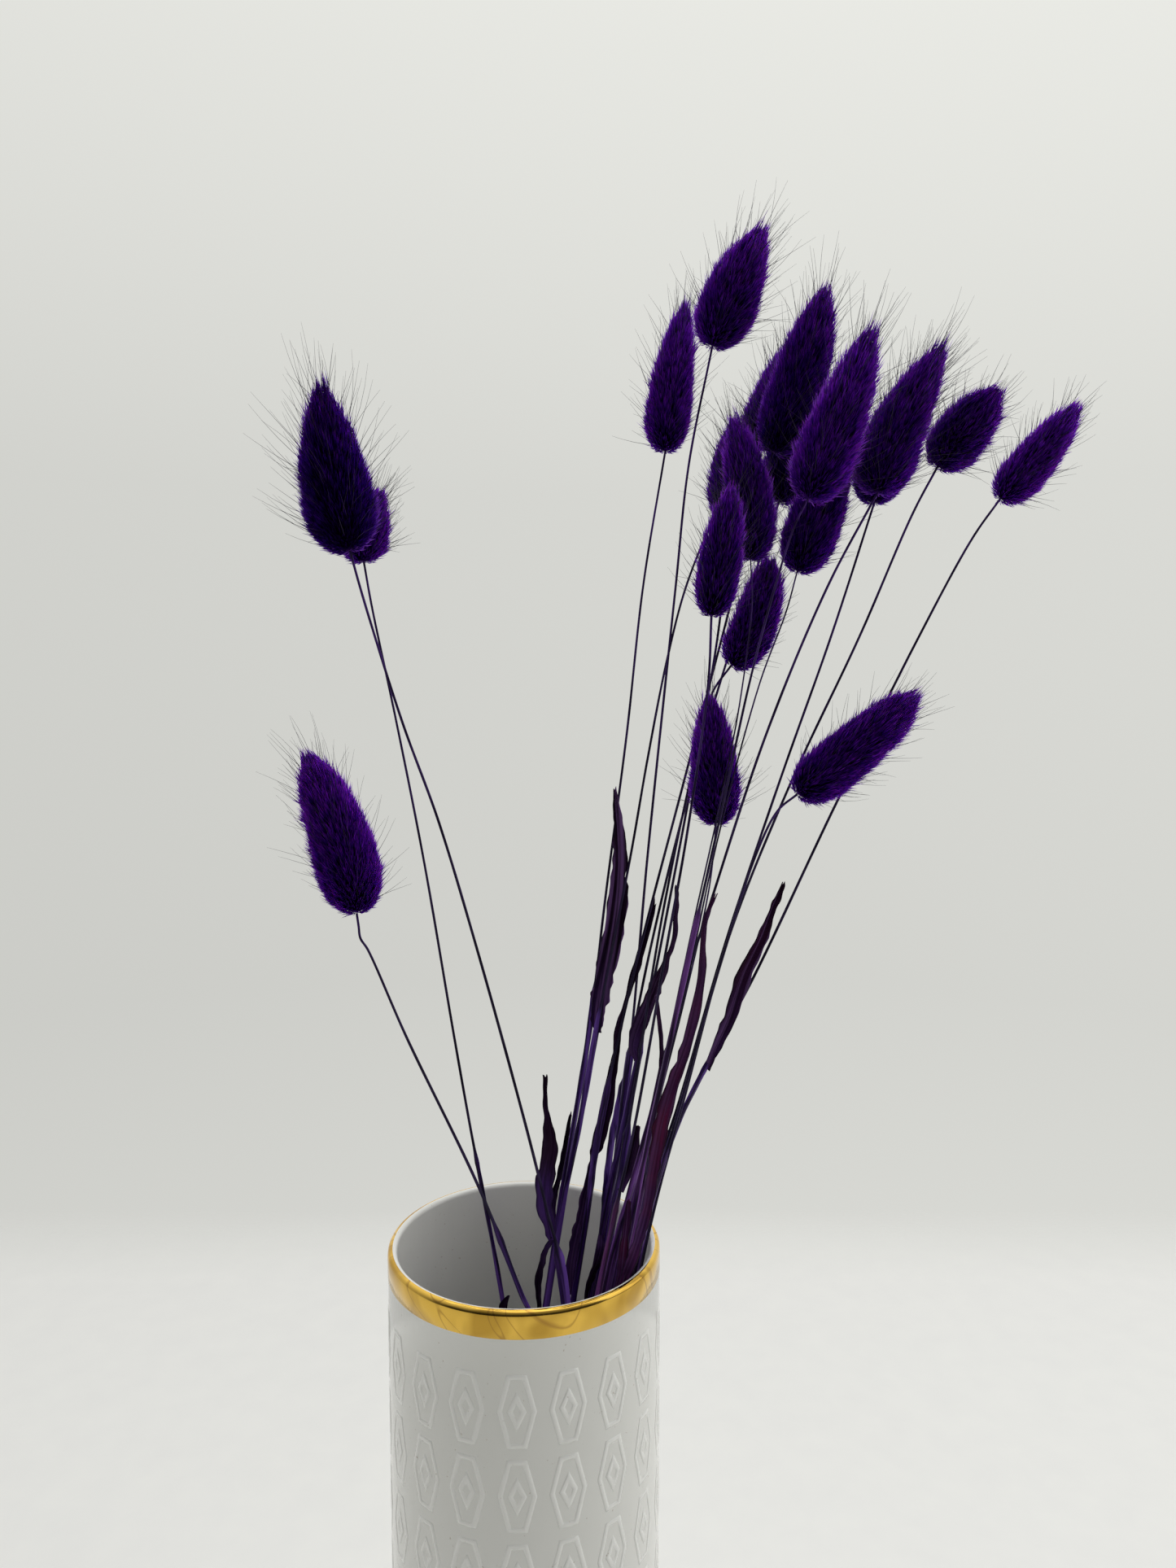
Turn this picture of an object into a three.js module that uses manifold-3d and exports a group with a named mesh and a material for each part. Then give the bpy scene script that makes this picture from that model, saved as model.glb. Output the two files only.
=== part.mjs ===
// Dried bunny tail grass: twenty dyed stalks standing in a tall white porcelain vase.
// Millimetres, +Z up. The origin is the middle of the vase's foot.

import * as THREE from 'three';
import { mergeVertices } from 'three/addons/utils/BufferGeometryUtils.js';
import Module from 'manifold-3d';

const VASE = { height: 196, radius: 37, wall: 2.6, floor: 5, chamfer: 1.5, corner: 1.5, sides: 48 };
const STEM = { sides: 5, ringsPerPoint: 2, neckRadius: 0.42, kneeRadius: 0.55, sheathBlend: 10 };
const HEAD = { around: 12, along: 11, valley: 0.8, lift: 0.25, gap: 0.3, elbow: 0.35, taper: 0.75 };
const AWN = {
  count: 18,
  radius: 0.28,
  root: 2.2,
  lowest: 0.14,
  highest: 0.98,
  leanBelow: 72,
  leanAbove: 12,
  shortest: 0.64,
  step: 1.5,
  clear: 1.1,
  tries: 8,
  turn: 0.45,
};
const LEAF = { stepsPerPoint: 2, thick: 0.7, fold: 0.18, wave: 0.35, waves: 2.5 };
const FOOT_GAP = 0.6;
const STEM_STEP = 2;
const GOLDEN_ANGLE = Math.PI * (3 - Math.sqrt(5));

const COLOURS = { porcelain: 0xe9e9e6, stem: 0x2b2140, head: 0x2a0a5c };

// Each stalk stands on the vase's floor at foot, follows its route over the rim and ends at its
// neck. All heights here are above the rim.
// sheath is the height at which its leaf sheath ends and the sheath's radius.
// head is the head's tip, its width, where it is widest, how pointed it is, how long its awns are
// and how far its lower half bows to the side.
const STALKS = [
  {
    foot: [23, -20], sheath: [11, 1.2],
    route: [[11, -22, 0], [6.7, -22.4, 20], [1.9, -23, 40.5], [-9.2, -24, 83.5], [-19, -24.5, 118],
      [-27.5, -25, 142.5], [-36, -25.5, 171]],
    neck: [-39, -26, 182.5],
    head: { tip: [-44.5, -30, 220.5], wide: 17, widest: 0.34, point: 1.1, awn: 15, bow: 0 },
  },
  {
    foot: [12, 28], sheath: [16, 0.7],
    route: [[-8.2, 24.6, -31], [-13.3, 24, 0], [-16.7, 23, 20], [-21.2, 21, 49.5],
      [-28.8, 17.5, 101.5], [-35.8, 14.5, 142.5], [-41.4, 12.5, 172.5]],
    neck: [-43.2, 12, 184],
    head: { tip: [-37.7, 6, 201.5], wide: 12.4, widest: 0.4, point: 0.9, awn: 10, bow: 0 },
  },
  {
    foot: [13, -28], sheath: [18, 0.75],
    route: [[5.7, -28.9, -12], [0.7, -28.5, 0], [-9.5, -24.5, 24.5], [-28.5, -19, 62.5],
      [-38.5, -15.5, 84], [-40.5, -15, 87], [-41, -14.5, 90]],
    neck: [-41.5, -14, 93],
    head: { tip: [-55, -8, 133.5], wide: 16, widest: 0.36, point: 0.75, awn: 12, bow: 1 },
  },
  {
    foot: [1.5, 16.2], sheath: [42, 1.1],
    route: [[22.2, 16.2, 0], [22.9, 15.9, 9], [24.3, 15.6, 22], [26.8, 15.5, 34], [29, 15.5, 46],
      [34, 13, 104.5], [41, 10, 177.5], [44.2, 9, 209.5]],
    neck: [50, 8, 239.5],
    head: { tip: [61.5, 0, 266.5], wide: 15, widest: 0.38, point: 0.95, awn: 13, bow: 1.5 },
  },
  {
    foot: [-17, 22], sheath: [66, 1.15],
    route: [[9.5, 23, 0], [17.5, 23.5, 49], [22.5, 24.5, 90.5], [28.5, 25, 137.5], [33, 25.5, 179]],
    neck: [39, 26, 216],
    head: { tip: [45, 30, 258], wide: 12, widest: 0.3, point: 1, awn: 12, bow: -2 },
  },
  {
    foot: [-14, 8], sheath: [44, 0.95],
    route: [[16.7, 8, 0], [20, 8, 24.5], [29, 8, 67.5], [43.5, 8.5, 125], [53.5, 7.5, 164.5],
      [60, 4.5, 192]],
    neck: [65, 0, 210.5],
    head: { tip: [77, -5, 250], wide: 14, widest: 0.34, point: 0.85, awn: 13, bow: 1.7 },
  },
  {
    foot: [-5.5, -16.5], sheath: [66, 1],
    route: [[26.5, -16.5, 0], [32, -18, 31], [41.5, -20.5, 78.5], [50, -23, 120], [57.5, -25, 157],
      [66, -26.5, 188]],
    neck: [69, -27, 194.5],
    head: { tip: [83, -30, 233], wide: 13.8, widest: 0.3, point: 1, awn: 14, bow: -0.8 },
  },
  {
    foot: [-2.5, -9], sheath: [30, 0.95],
    route: [[29.5, -9, 0], [33.5, -10, 32], [41.5, -11, 70.5], [49.5, -11.5, 97.5],
      [62.5, -12.5, 139], [77, -13.5, 175.5]],
    neck: [88.6, -14, 198],
    head: { tip: [102.6, -18, 232.5], wide: 14, widest: 0.3, point: 1.05, awn: 14, bow: -4.5 },
  },
  {
    foot: [0.3, -4.5], sheath: [-10, 0.9],
    route: [[33, -4.5, 0], [43.5, -3.5, 42], [55, -2.5, 85], [71, -1.5, 126], [88.3, -1, 164],
      [101.6, 0, 195.5]],
    neck: [107.5, 0, 207],
    head: { tip: [115.8, -18, 221.5], wide: 13.4, widest: 0.42, point: 0.8, awn: 10, bow: 1.5 },
  },
  {
    foot: [0.4, -1.2], sheath: [52, 0.85],
    route: [[32.4, -1.2, 0], [40, 0.5, 27.5], [50.5, 1.5, 50], [62.5, 3, 72.5], [84, 5.5, 118.5],
      [106.5, 8, 164.5], [120.5, 9.5, 190.5]],
    neck: [127.5, 10, 200.5],
    head: { tip: [143, 0, 222.5], wide: 11.1, widest: 0.34, point: 0.8, awn: 10, bow: 2.5 },
  },
  {
    foot: [-6.5, -14], sheath: [60, 1],
    route: [[23.4, -14.6, 0], [28.4, -14.6, 20], [35, -14.5, 45], [43.5, -15, 87.5],
      [51.5, -15.5, 126], [55.5, -15.5, 148.5], [58, -15.5, 171.5]],
    neck: [57.5, -15.5, 181.5],
    head: { tip: [52.5, -18, 215], wide: 11.3, widest: 0.36, point: 0.8, awn: 11, bow: 2 },
  },
  {
    foot: [-17.5, 18], sheath: [60, 1.15],
    route: [[10, 18, 0], [15, 18.5, 25], [20, 19.5, 53.5], [29.6, 22.5, 102.5],
      [34.5, 24.5, 130.5], [40, 26.5, 158.5], [45.5, 28, 179.5], [54, 30, 200]],
    neck: [64.5, 32, 219],
    head: { tip: [76, 38, 248.5], wide: 14.2, widest: 0.36, point: 0.85, awn: 12, bow: 1.5 },
  },
  {
    foot: [-8.5, 13], sheath: [52, 1.05],
    route: [[23.5, 13, 0], [29.5, 13, 49], [37, 13, 87.5], [49, 13.5, 135.5], [60, 13.5, 172.5]],
    neck: [69, 14, 200],
    head: { tip: [75.5, 18, 237.5], wide: 13.2, widest: 0.34, point: 0.9, awn: 11, bow: 0 },
  },
  {
    foot: [-4, -11.5], sheath: [26, 0.9],
    route: [[28, -11.5, 0], [34.5, -13, 37], [43, -13.5, 76], [50.5, -13.5, 113],
      [60.5, -13, 151.5], [67, -12.5, 169.5]],
    neck: [69.5, -12.5, 179],
    head: { tip: [81.5, -8, 214], wide: 13.2, widest: 0.34, point: 0.9, awn: 11, bow: 1.2 },
  },
  {
    foot: [-11, -19], sheath: [22, 0.75],
    route: [[21, -19, 0], [29.5, -20.5, 41.5], [36.5, -23, 84.5], [41.5, -25, 115],
      [46, -28, 151.5]],
    neck: [46.5, -29, 167],
    head: { tip: [50.5, -33, 196], wide: 9.6, widest: 0.4, point: 0.8, awn: 10, bow: 1.2 },
  },
  {
    foot: [-8, 5.5], sheath: [32, 0.95],
    route: [[24, 5.5, 0], [30.5, 4.5, 42.5], [37.5, 3.5, 89], [47.5, 2.5, 138.5], [50.5, 2, 149.5]],
    neck: [55, 2, 156],
    head: { tip: [64, -4, 183], wide: 11.6, widest: 0.36, point: 0.6, awn: 8, bow: 1.5 },
  },
  {
    foot: [-4.5, 3], sheath: [20, 0.9],
    route: [[27.5, 3, 0], [34, 1.5, 27.5], [43.5, -1, 68], [49.5, -2.5, 98]],
    neck: [51, -3.5, 114.5],
    head: { tip: [48.5, -8, 148.5], wide: 12.4, widest: 0.34, point: 0.95, awn: 11, bow: -1.5 },
  },
  {
    foot: [-0.8, -7.2], sheath: [30, 0.85],
    route: [[31.2, -7.2, 0], [41, -9, 38.5], [52.5, -11.5, 82.5], [60.5, -13, 109],
      [65.5, -13.5, 119.5]],
    neck: [70, -14, 123.5],
    head: { tip: [99.5, -14, 148.5], wide: 13, widest: 0.3, point: 0.55, awn: 10, bow: 2 },
  },
  {
    foot: [-10, 10.5], sheath: [54, 1],
    route: [[22, 10.5, 0], [30, 9.5, 40], [39, 8.5, 88], [45.5, 7, 125], [52, 5.5, 164.5]],
    neck: [54.5, 4, 193],
    head: { tip: [56.5, 8, 220], wide: 12, widest: 0.4, point: 0.8, awn: 9, bow: 0 },
  },
  {
    foot: [-1, 1.6], sheath: [24, 0.85],
    route: [[31, 1.6, 0], [42.5, 2, 38.5], [54.5, 3.5, 81], [69, 5, 125.5], [82.5, 6.5, 164.5]],
    neck: [93.4, 8, 199],
    head: { tip: [109.5, 8, 237], wide: 14, widest: 0.32, point: 0.95, awn: 12, bow: -4 },
  },
];

// Each leaf grows from the stem of its stalk, counted from one. Each point of its blade is x, y,
// height and width. face turns the blade about its own length, in degrees, at its root and its tip.
const LEAVES = [
  {
    stalk: 12, face: [10, -20],
    blade: [[20.2, 19.5, 51.5, 1.8], [20.3, 20.9, 56, 4], [21.4, 21.6, 64, 5.2],
      [23.4, 22.4, 75, 5.6], [25.4, 23, 88, 5.6], [26.3, 22.8, 101, 4.2], [25.6, 21.5, 113, 2.4],
      [24.7, 19.5, 123, 0.8]],
  },
  {
    stalk: 1, face: [0, 25],
    blade: [[8.2, -21.8, 10.5, 1.6], [7.8, -21, 13, 3], [6.7, -20.8, 18.7, 4.3],
      [6.5, -20.8, 24.7, 4.4], [7.2, -20.8, 29.4, 3.8], [8.1, -20.8, 34, 4.2], [8, -21, 38, 3],
      [7.2, -21, 43, 1.6], [6.8, -21, 48.3, 1.2], [6.8, -21, 54, 1.3]],
  },
  {
    stalk: 6, face: [10, -20],
    blade: [[12.2, 8.8, -21, 2.3], [12.7, 8.8, -11.6, 3.1], [14.1, 8.8, -3.9, 2.9],
      [15.2, 8.8, 1.1, 2.1], [16.6, 8.8, 8.5, 2.3], [18.1, 8.8, 14.9, 2], [18.9, 8.8, 19, 1.9],
      [20.3, 9, 24.5, 3.6], [23, 9, 36.5, 3.1], [24.4, 9, 45.1, 2.1], [25.2, 9, 50.4, 1.7],
      [25.7, 9, 55.8, 2.3], [27.5, 9.4, 62.6, 1], [30, 9.4, 71.6, 2.1], [31.7, 9.4, 77.5, 1.9],
      [34.4, 9.8, 87, 1.4], [36, 10, 93, 0.8]],
  },
  {
    stalk: 19, face: [15, -40],
    blade: [[31, 9, 47, 1.6], [30, 7.8, 51, 3], [31, 7.2, 56, 3.8], [33.6, 7, 63, 3.6],
      [35.6, 6.8, 68.5, 3.6], [38, 6.4, 74.5, 2.4], [40.4, 6.2, 81, 1.4], [41.2, 6, 91, 1.2],
      [41.2, 6, 97, 0.8]],
  },
  {
    stalk: 7, face: [-10, 30],
    blade: [[25.2, -16.9, -8, 1.8], [26.8, -18, -1.5, 2.4], [28.9, -19.3, 5, 2.8],
      [30.7, -21, 12, 2.8], [32.3, -22, 19, 2.8], [33.6, -23, 28, 2.8], [34.9, -23.3, 36, 3.6],
      [36, -23.4, 42, 4], [38.6, -24, 52, 3.2], [42.3, -25.4, 64, 2.4], [45.3, -26, 79, 2],
      [46.3, -26, 94, 1.2], [49, -26, 101, 0.7]],
  },
  {
    stalk: 10, face: [20, -30],
    blade: [[49.9, 1.4, 47, 1.6], [51.9, 0.2, 53, 2.6], [55.4, -0.2, 61.5, 3.2],
      [58.9, 0.2, 73, 4], [63.9, 0.6, 84, 3.2], [66.9, 1, 92, 2], [69.9, 1.4, 99, 0.8]],
  },
  {
    stalk: 16, face: [0, 20],
    blade: [[26.3, 5, 11, 1.6], [28.4, 6.6, 15, 2.2], [29.8, 7, 21, 3], [31.4, 6.8, 29.6, 1.8]],
  },
  {
    stalk: 5, face: [0, 20],
    blade: [[7.6, 23.4, -12, 1.2], [7, 25.2, -6, 1.6], [7.6, 25.6, 1, 1.6], [9.3, 25.8, 7, 1.6],
      [10.8, 26, 15, 1.4], [12.6, 26.2, 26, 0.8]],
  },
  {
    stalk: 7, face: [15, -15],
    blade: [[25, -17, -6, 1.4], [26, -18, 0, 2.2], [26.6, -18.4, 6, 2.4], [27.2, -18.8, 13, 2],
      [27.8, -19, 20, 1]],
  },
  {
    stalk: 2, face: [0, 15],
    blade: [[-6.4, 24.8, -44, 1.2], [-6.6, 24.4, -42, 1.4], [-7.8, 24, -37, 3],
      [-7.6, 23.6, -33, 2.6], [-6, 23.4, -29.5, 0.8]],
  },
  {
    stalk: 19, face: [0, 30],
    blade: [[21.2, 10.2, -4, 1.4], [21, 9, -7, 2.4], [19.9, 8.8, -11.5, 2.4],
      [18.3, 8.8, -15.5, 2], [17, 9, -19.5, 1.2], [16.6, 9.2, -26, 0.9]],
  },
  {
    stalk: 1, face: [0, -20],
    blade: [[8.6, -21.6, 11, 1.2], [6.8, -21, 8, 1.4], [5.4, -20.4, 3, 1.5], [4.7, -20, -3, 1.6],
      [5, -20, -9, 1.2], [5.6, -20, -18, 0.8]],
  },
  {
    stalk: 11, face: [0, 20],
    blade: [[35.2, -14.8, 45.5, 0.9], [35.8, -16, 50, 1], [36.2, -16.2, 56, 1],
      [36, -16.2, 62, 1], [35.4, -16.2, 68, 0.9], [34.9, -16.2, 73, 0.7]],
  },
];

const wasm = await Module();
wasm.setup();

const model = new THREE.Group();

function aboveRim([x, y, height]) {
  return new THREE.Vector3(x, y, VASE.height + height);
}

function mix(a, b, share) {
  return a + (b - a) * share;
}

function smooth(share) {
  return THREE.MathUtils.smoothstep(share, 0, 1);
}

// Moves every vertex of a closed geometry and merges the ones that meet.
function reshape(geometry, place) {
  const position = geometry.getAttribute('position');
  const point = new THREE.Vector3();
  for (let i = 0; i < position.count; i += 1) {
    point.fromBufferAttribute(position, i);
    const moved = place(point);
    position.setXYZ(i, moved.x, moved.y, moved.z);
  }
  geometry.deleteAttribute('normal');
  geometry.deleteAttribute('uv');
  return mergeVertices(geometry, 1e-3);
}

// The frame at a share of a curve: side runs across it, level with the ground, and out squares the two.
function frameAt(curve, share) {
  const origin = curve.getPoint(share);
  const along = curve.getTangent(share);
  const side = new THREE.Vector3(0, 1, 0).cross(along).normalize();
  const out = side.clone().cross(along).normalize();
  return { origin, along, side, out };
}

function offset(frame, side, out) {
  return frame.origin.clone().addScaledVector(frame.side, side).addScaledVector(frame.out, out);
}

function toSolid(geometry) {
  const mesh = new wasm.Mesh({
    numProp: 3,
    vertProperties: new Float32Array(geometry.getAttribute('position').array),
    triVerts: new Uint32Array(geometry.getIndex().array),
  });
  return new wasm.Manifold(mesh);
}

function toGeometry(solid) {
  const mesh = solid.getMesh();
  const geometry = new THREE.BufferGeometry();
  geometry.setAttribute('position', new THREE.BufferAttribute(mesh.vertProperties, 3));
  geometry.setIndex(new THREE.BufferAttribute(mesh.triVerts, 1));
  return geometry;
}

function fuse(geometries) {
  const solids = geometries.map(toSolid);
  return toGeometry(wasm.Manifold.union(solids));
}

function addMesh(name, geometry, colour, roughness) {
  geometry.computeVertexNormals();
  const material = new THREE.MeshStandardMaterial({ color: colour, roughness, metalness: 0 });
  const mesh = new THREE.Mesh(geometry, material);
  mesh.name = name;
  model.add(mesh);
}

// The vase: a straight cylinder with a rounded lip and a flat foot.
function vaseGeometry() {
  const { height, radius, wall, floor, chamfer, corner, sides } = VASE;
  const inner = radius - wall;
  const lip = wall / 2;
  const lipSteps = 6;
  const profile = [
    new THREE.Vector2(0, 0),
    new THREE.Vector2(radius - chamfer, 0),
    new THREE.Vector2(radius, chamfer),
  ];
  for (let i = 0; i <= lipSteps; i += 1) {
    const angle = (Math.PI * i) / lipSteps;
    const reach = radius - lip + lip * Math.cos(angle);
    profile.push(new THREE.Vector2(reach, height - lip + lip * Math.sin(angle)));
  }
  profile.push(new THREE.Vector2(inner, floor + corner));
  profile.push(new THREE.Vector2(inner - corner, floor));
  profile.push(new THREE.Vector2(0, floor));
  const lathe = new THREE.LatheGeometry(profile, sides);
  return reshape(lathe, (p) => new THREE.Vector3(p.x, -p.z, p.y));
}

function stemCurve({ foot, route, neck }) {
  const start = new THREE.Vector3(foot[0], foot[1], VASE.floor + FOOT_GAP);
  return new THREE.CatmullRomCurve3([start, ...[...route, neck].map(aboveRim)]);
}

// The radius of a stem at a height above the rim: a thin culm that leaves its thicker sheath.
function stemRadius({ sheath, neck }, height) {
  const [sheathTop, sheathRadius] = sheath;
  const culm = mix(STEM.neckRadius, STEM.kneeRadius, (neck[2] - height) / (neck[2] - sheathTop));
  const covered = smooth((sheathTop - height) / STEM.sheathBlend);
  return mix(culm, sheathRadius, covered);
}

function stemGeometry(stalk, curve) {
  const rings = STEM.ringsPerPoint * (curve.points.length - 1);
  const tube = new THREE.CylinderGeometry(1, 1, 1, STEM.sides, rings);
  return reshape(tube, (p) => {
    const frame = frameAt(curve, p.y + 0.5);
    const radius = stemRadius(stalk, frame.origin.z - VASE.height);
    return offset(frame, p.x * radius, p.z * radius);
  });
}

// Turns the diagonals of the back face, so that both faces of a waved blade are split alike.
function splitAlike(box) {
  const index = box.getIndex();
  const back = box.groups[5];
  for (let i = back.start; i < back.start + back.count; i += 6) {
    const a = index.getX(i);
    const b = index.getX(i + 1);
    const c = index.getX(i + 4);
    const d = index.getX(i + 5);
    [a, b, c, a, c, d].forEach((corner, k) => index.setX(i + k, corner));
  }
}

// A leaf blade: a thin box along its curve, folded at the midrib, with waved edges.
function leafGeometry({ blade, face }) {
  const curve = new THREE.CatmullRomCurve3(blade.map(aboveRim));
  const steps = LEAF.stepsPerPoint * (blade.length - 1);
  const box = new THREE.BoxGeometry(1, 1, 1, 2, steps, 1);
  splitAlike(box);
  return reshape(box, (p) => {
    const share = p.y + 0.5;
    const frame = frameAt(curve, share);
    const place = share * (blade.length - 1);
    const first = Math.min(Math.floor(place), blade.length - 2);
    const width = mix(blade[first][3], blade[first + 1][3], place - first);
    const turn = THREE.MathUtils.degToRad(mix(face[0], face[1], share));
    const across = p.x * width;
    const fold = Math.abs(across) * LEAF.fold;
    const wave = p.x * LEAF.wave * Math.sin(share * LEAF.waves * 2 * Math.PI);
    const depth = p.z * LEAF.thick + fold + wave;
    const side = across * Math.cos(turn) - depth * Math.sin(turn);
    const out = across * Math.sin(turn) + depth * Math.cos(turn);
    return offset(frame, side, out);
  });
}

// A head's middle line leaves the neck the way the stem points and bends over to the tip.
function headCurve({ neck, head }, stem) {
  const start = aboveRim(neck).addScaledVector(stem.getTangent(1), HEAD.gap);
  const end = aboveRim(head.tip);
  const reach = start.distanceTo(end) * HEAD.elbow;
  const elbow = start.clone().addScaledVector(stem.getTangent(1), reach);
  elbow.x += head.bow;
  return new THREE.QuadraticBezierCurve3(start, elbow, end);
}

// The radius of a head at a share of its length: a round base and a long taper.
function headRadius({ wide, widest, point }, share) {
  if (share < widest) {
    return (wide / 2) * Math.sqrt(Math.max(0, 1 - (1 - share / widest) ** 2));
  }
  return (wide / 2) * Math.max(0, 1 - ((share - widest) / (1 - widest)) ** 2) ** (point * HEAD.taper);
}

// The dense part of a head: a closed surface whose every other point stands out as a spikelet
// and leans to the tip.
function coreGeometry({ head }, curve) {
  const { around, along, valley, lift } = HEAD;
  const ball = new THREE.SphereGeometry(1, around, along);
  return reshape(ball, (p) => {
    const ring = Math.round((Math.acos(THREE.MathUtils.clamp(-p.y, -1, 1)) / Math.PI) * along);
    const spoke = Math.round((Math.atan2(p.z, p.x) / (2 * Math.PI)) * around);
    const inside = ring > 0 && ring < along;
    const raised = inside && (ring + spoke + around) % 2 === 0;
    const frame = frameAt(curve, (ring + (raised ? lift : 0)) / along);
    const angle = (2 * Math.PI * spoke) / around;
    const radius = inside ? headRadius(head, ring / along) * (raised ? 1 : valley) : 0;
    return offset(frame, radius * Math.cos(angle), radius * Math.sin(angle));
  });
}

// Everything that an awn has to stay clear of, as balls: [stalk number, middle, radius].
const obstacles = [];

function addObstacles(number, curve, radiusAt) {
  const count = Math.ceil(curve.getLength() / STEM_STEP);
  for (let i = 0; i <= count; i += 1) {
    obstacles.push([number, curve.getPoint(i / count), radiusAt(i / count)]);
  }
}

function isClear(number, points) {
  return obstacles.every(([owner, middle, radius]) => (
    owner === number || points.every((point) => point.distanceTo(middle) > radius + AWN.clear)));
}

// One awn: a slim three-sided cone from its root inside the core to its tip.
function awnCone(start, direction, length) {
  const cone = new THREE.ConeGeometry(AWN.radius, length, 3);
  const turn = new THREE.Quaternion().setFromUnitVectors(new THREE.Vector3(0, 1, 0), direction);
  const middle = start.clone().addScaledVector(direction, length / 2);
  return reshape(cone, (p) => p.clone().applyQuaternion(turn).add(middle));
}

// Where an awn leaves the middle line of its head, and the way it points.
function awnWay(frame, angle, lean) {
  const outward = new THREE.Vector3();
  outward.addScaledVector(frame.side, Math.cos(angle)).addScaledVector(frame.out, Math.sin(angle));
  const direction = new THREE.Vector3();
  direction.addScaledVector(outward, Math.sin(lean)).addScaledVector(frame.along, Math.cos(lean));
  return { outward, direction };
}

// Awns in a spiral over the head, steeper towards the tip.
// One that would meet another stalk is turned clear of it.
function awnGeometries(number, { head }, curve) {
  const awns = [];
  for (let k = 0; k < AWN.count; k += 1) {
    const share = mix(AWN.lowest, AWN.highest, (k + 0.5) / AWN.count);
    const lean = THREE.MathUtils.degToRad(mix(AWN.leanBelow, AWN.leanAbove, share));
    const length = head.awn * mix(AWN.shortest, 1, (1 + Math.cos(k * GOLDEN_ANGLE)) / 2);
    const frame = frameAt(curve, share);
    const depth = Math.max(0, headRadius(head, share) * HEAD.valley - AWN.root / 2);
    for (let attempt = 0; attempt < AWN.tries; attempt += 1) {
      const angle = k * GOLDEN_ANGLE + number + attempt * AWN.turn;
      const { outward, direction } = awnWay(frame, angle, lean);
      const root = frame.origin.clone().addScaledVector(outward, depth);
      const points = [];
      for (let reach = 0; reach <= length; reach += AWN.step) {
        points.push(root.clone().addScaledVector(direction, reach));
      }
      if (isClear(number, points)) {
        awns.push(awnCone(root.addScaledVector(direction, -AWN.root / 2), direction, length));
        points.forEach((point) => obstacles.push([number, point, AWN.radius]));
        break;
      }
    }
  }
  return awns;
}

function nodeName(kind, number) {
  return `${kind}_${String(number).padStart(2, '0')}`;
}

addMesh('vase', vaseGeometry(), COLOURS.porcelain, 0.25);

const stemCurves = STALKS.map(stemCurve);
const headCurves = STALKS.map((stalk, i) => headCurve(stalk, stemCurves[i]));

STALKS.forEach((stalk, i) => {
  const stem = stemCurves[i];
  addObstacles(i + 1, stem, (share) => stemRadius(stalk, stem.getPoint(share).z - VASE.height));
  addObstacles(i + 1, headCurves[i], (share) => headRadius(stalk.head, share));
});

STALKS.forEach((stalk, i) => {
  const leaves = LEAVES.filter((leaf) => leaf.stalk === i + 1).map(leafGeometry);
  const tube = stemGeometry(stalk, stemCurves[i]);
  addMesh(nodeName('stem', i + 1), fuse([tube, ...leaves]), COLOURS.stem, 0.6);
});

STALKS.forEach((stalk, i) => {
  const core = coreGeometry(stalk, headCurves[i]);
  const awns = awnGeometries(i + 1, stalk, headCurves[i]);
  addMesh(nodeName('head', i + 1), fuse([core, ...awns]), COLOURS.head, 0.9);
});

export default model;
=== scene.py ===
# Dried bunny tail grass, dyed violet, in a tall white porcelain vase with a gilt rim.
import math
from functools import partial

import bmesh
import bpy
import numpy as np
from mathutils import Matrix, Vector


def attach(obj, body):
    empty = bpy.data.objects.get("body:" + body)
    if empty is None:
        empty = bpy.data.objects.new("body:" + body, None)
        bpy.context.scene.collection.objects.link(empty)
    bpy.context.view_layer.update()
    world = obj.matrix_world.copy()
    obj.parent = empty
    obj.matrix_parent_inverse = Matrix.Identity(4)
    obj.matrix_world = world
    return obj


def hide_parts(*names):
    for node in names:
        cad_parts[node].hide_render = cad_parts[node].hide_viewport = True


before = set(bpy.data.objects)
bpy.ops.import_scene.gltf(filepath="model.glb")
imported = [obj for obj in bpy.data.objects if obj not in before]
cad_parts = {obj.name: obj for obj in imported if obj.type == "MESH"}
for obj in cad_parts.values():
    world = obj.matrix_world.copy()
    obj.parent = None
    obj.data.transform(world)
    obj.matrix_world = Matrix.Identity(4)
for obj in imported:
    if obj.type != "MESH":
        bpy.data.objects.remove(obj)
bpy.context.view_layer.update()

mm = 0.001
goldenAngle = math.pi * (3 - math.sqrt(5))

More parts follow.
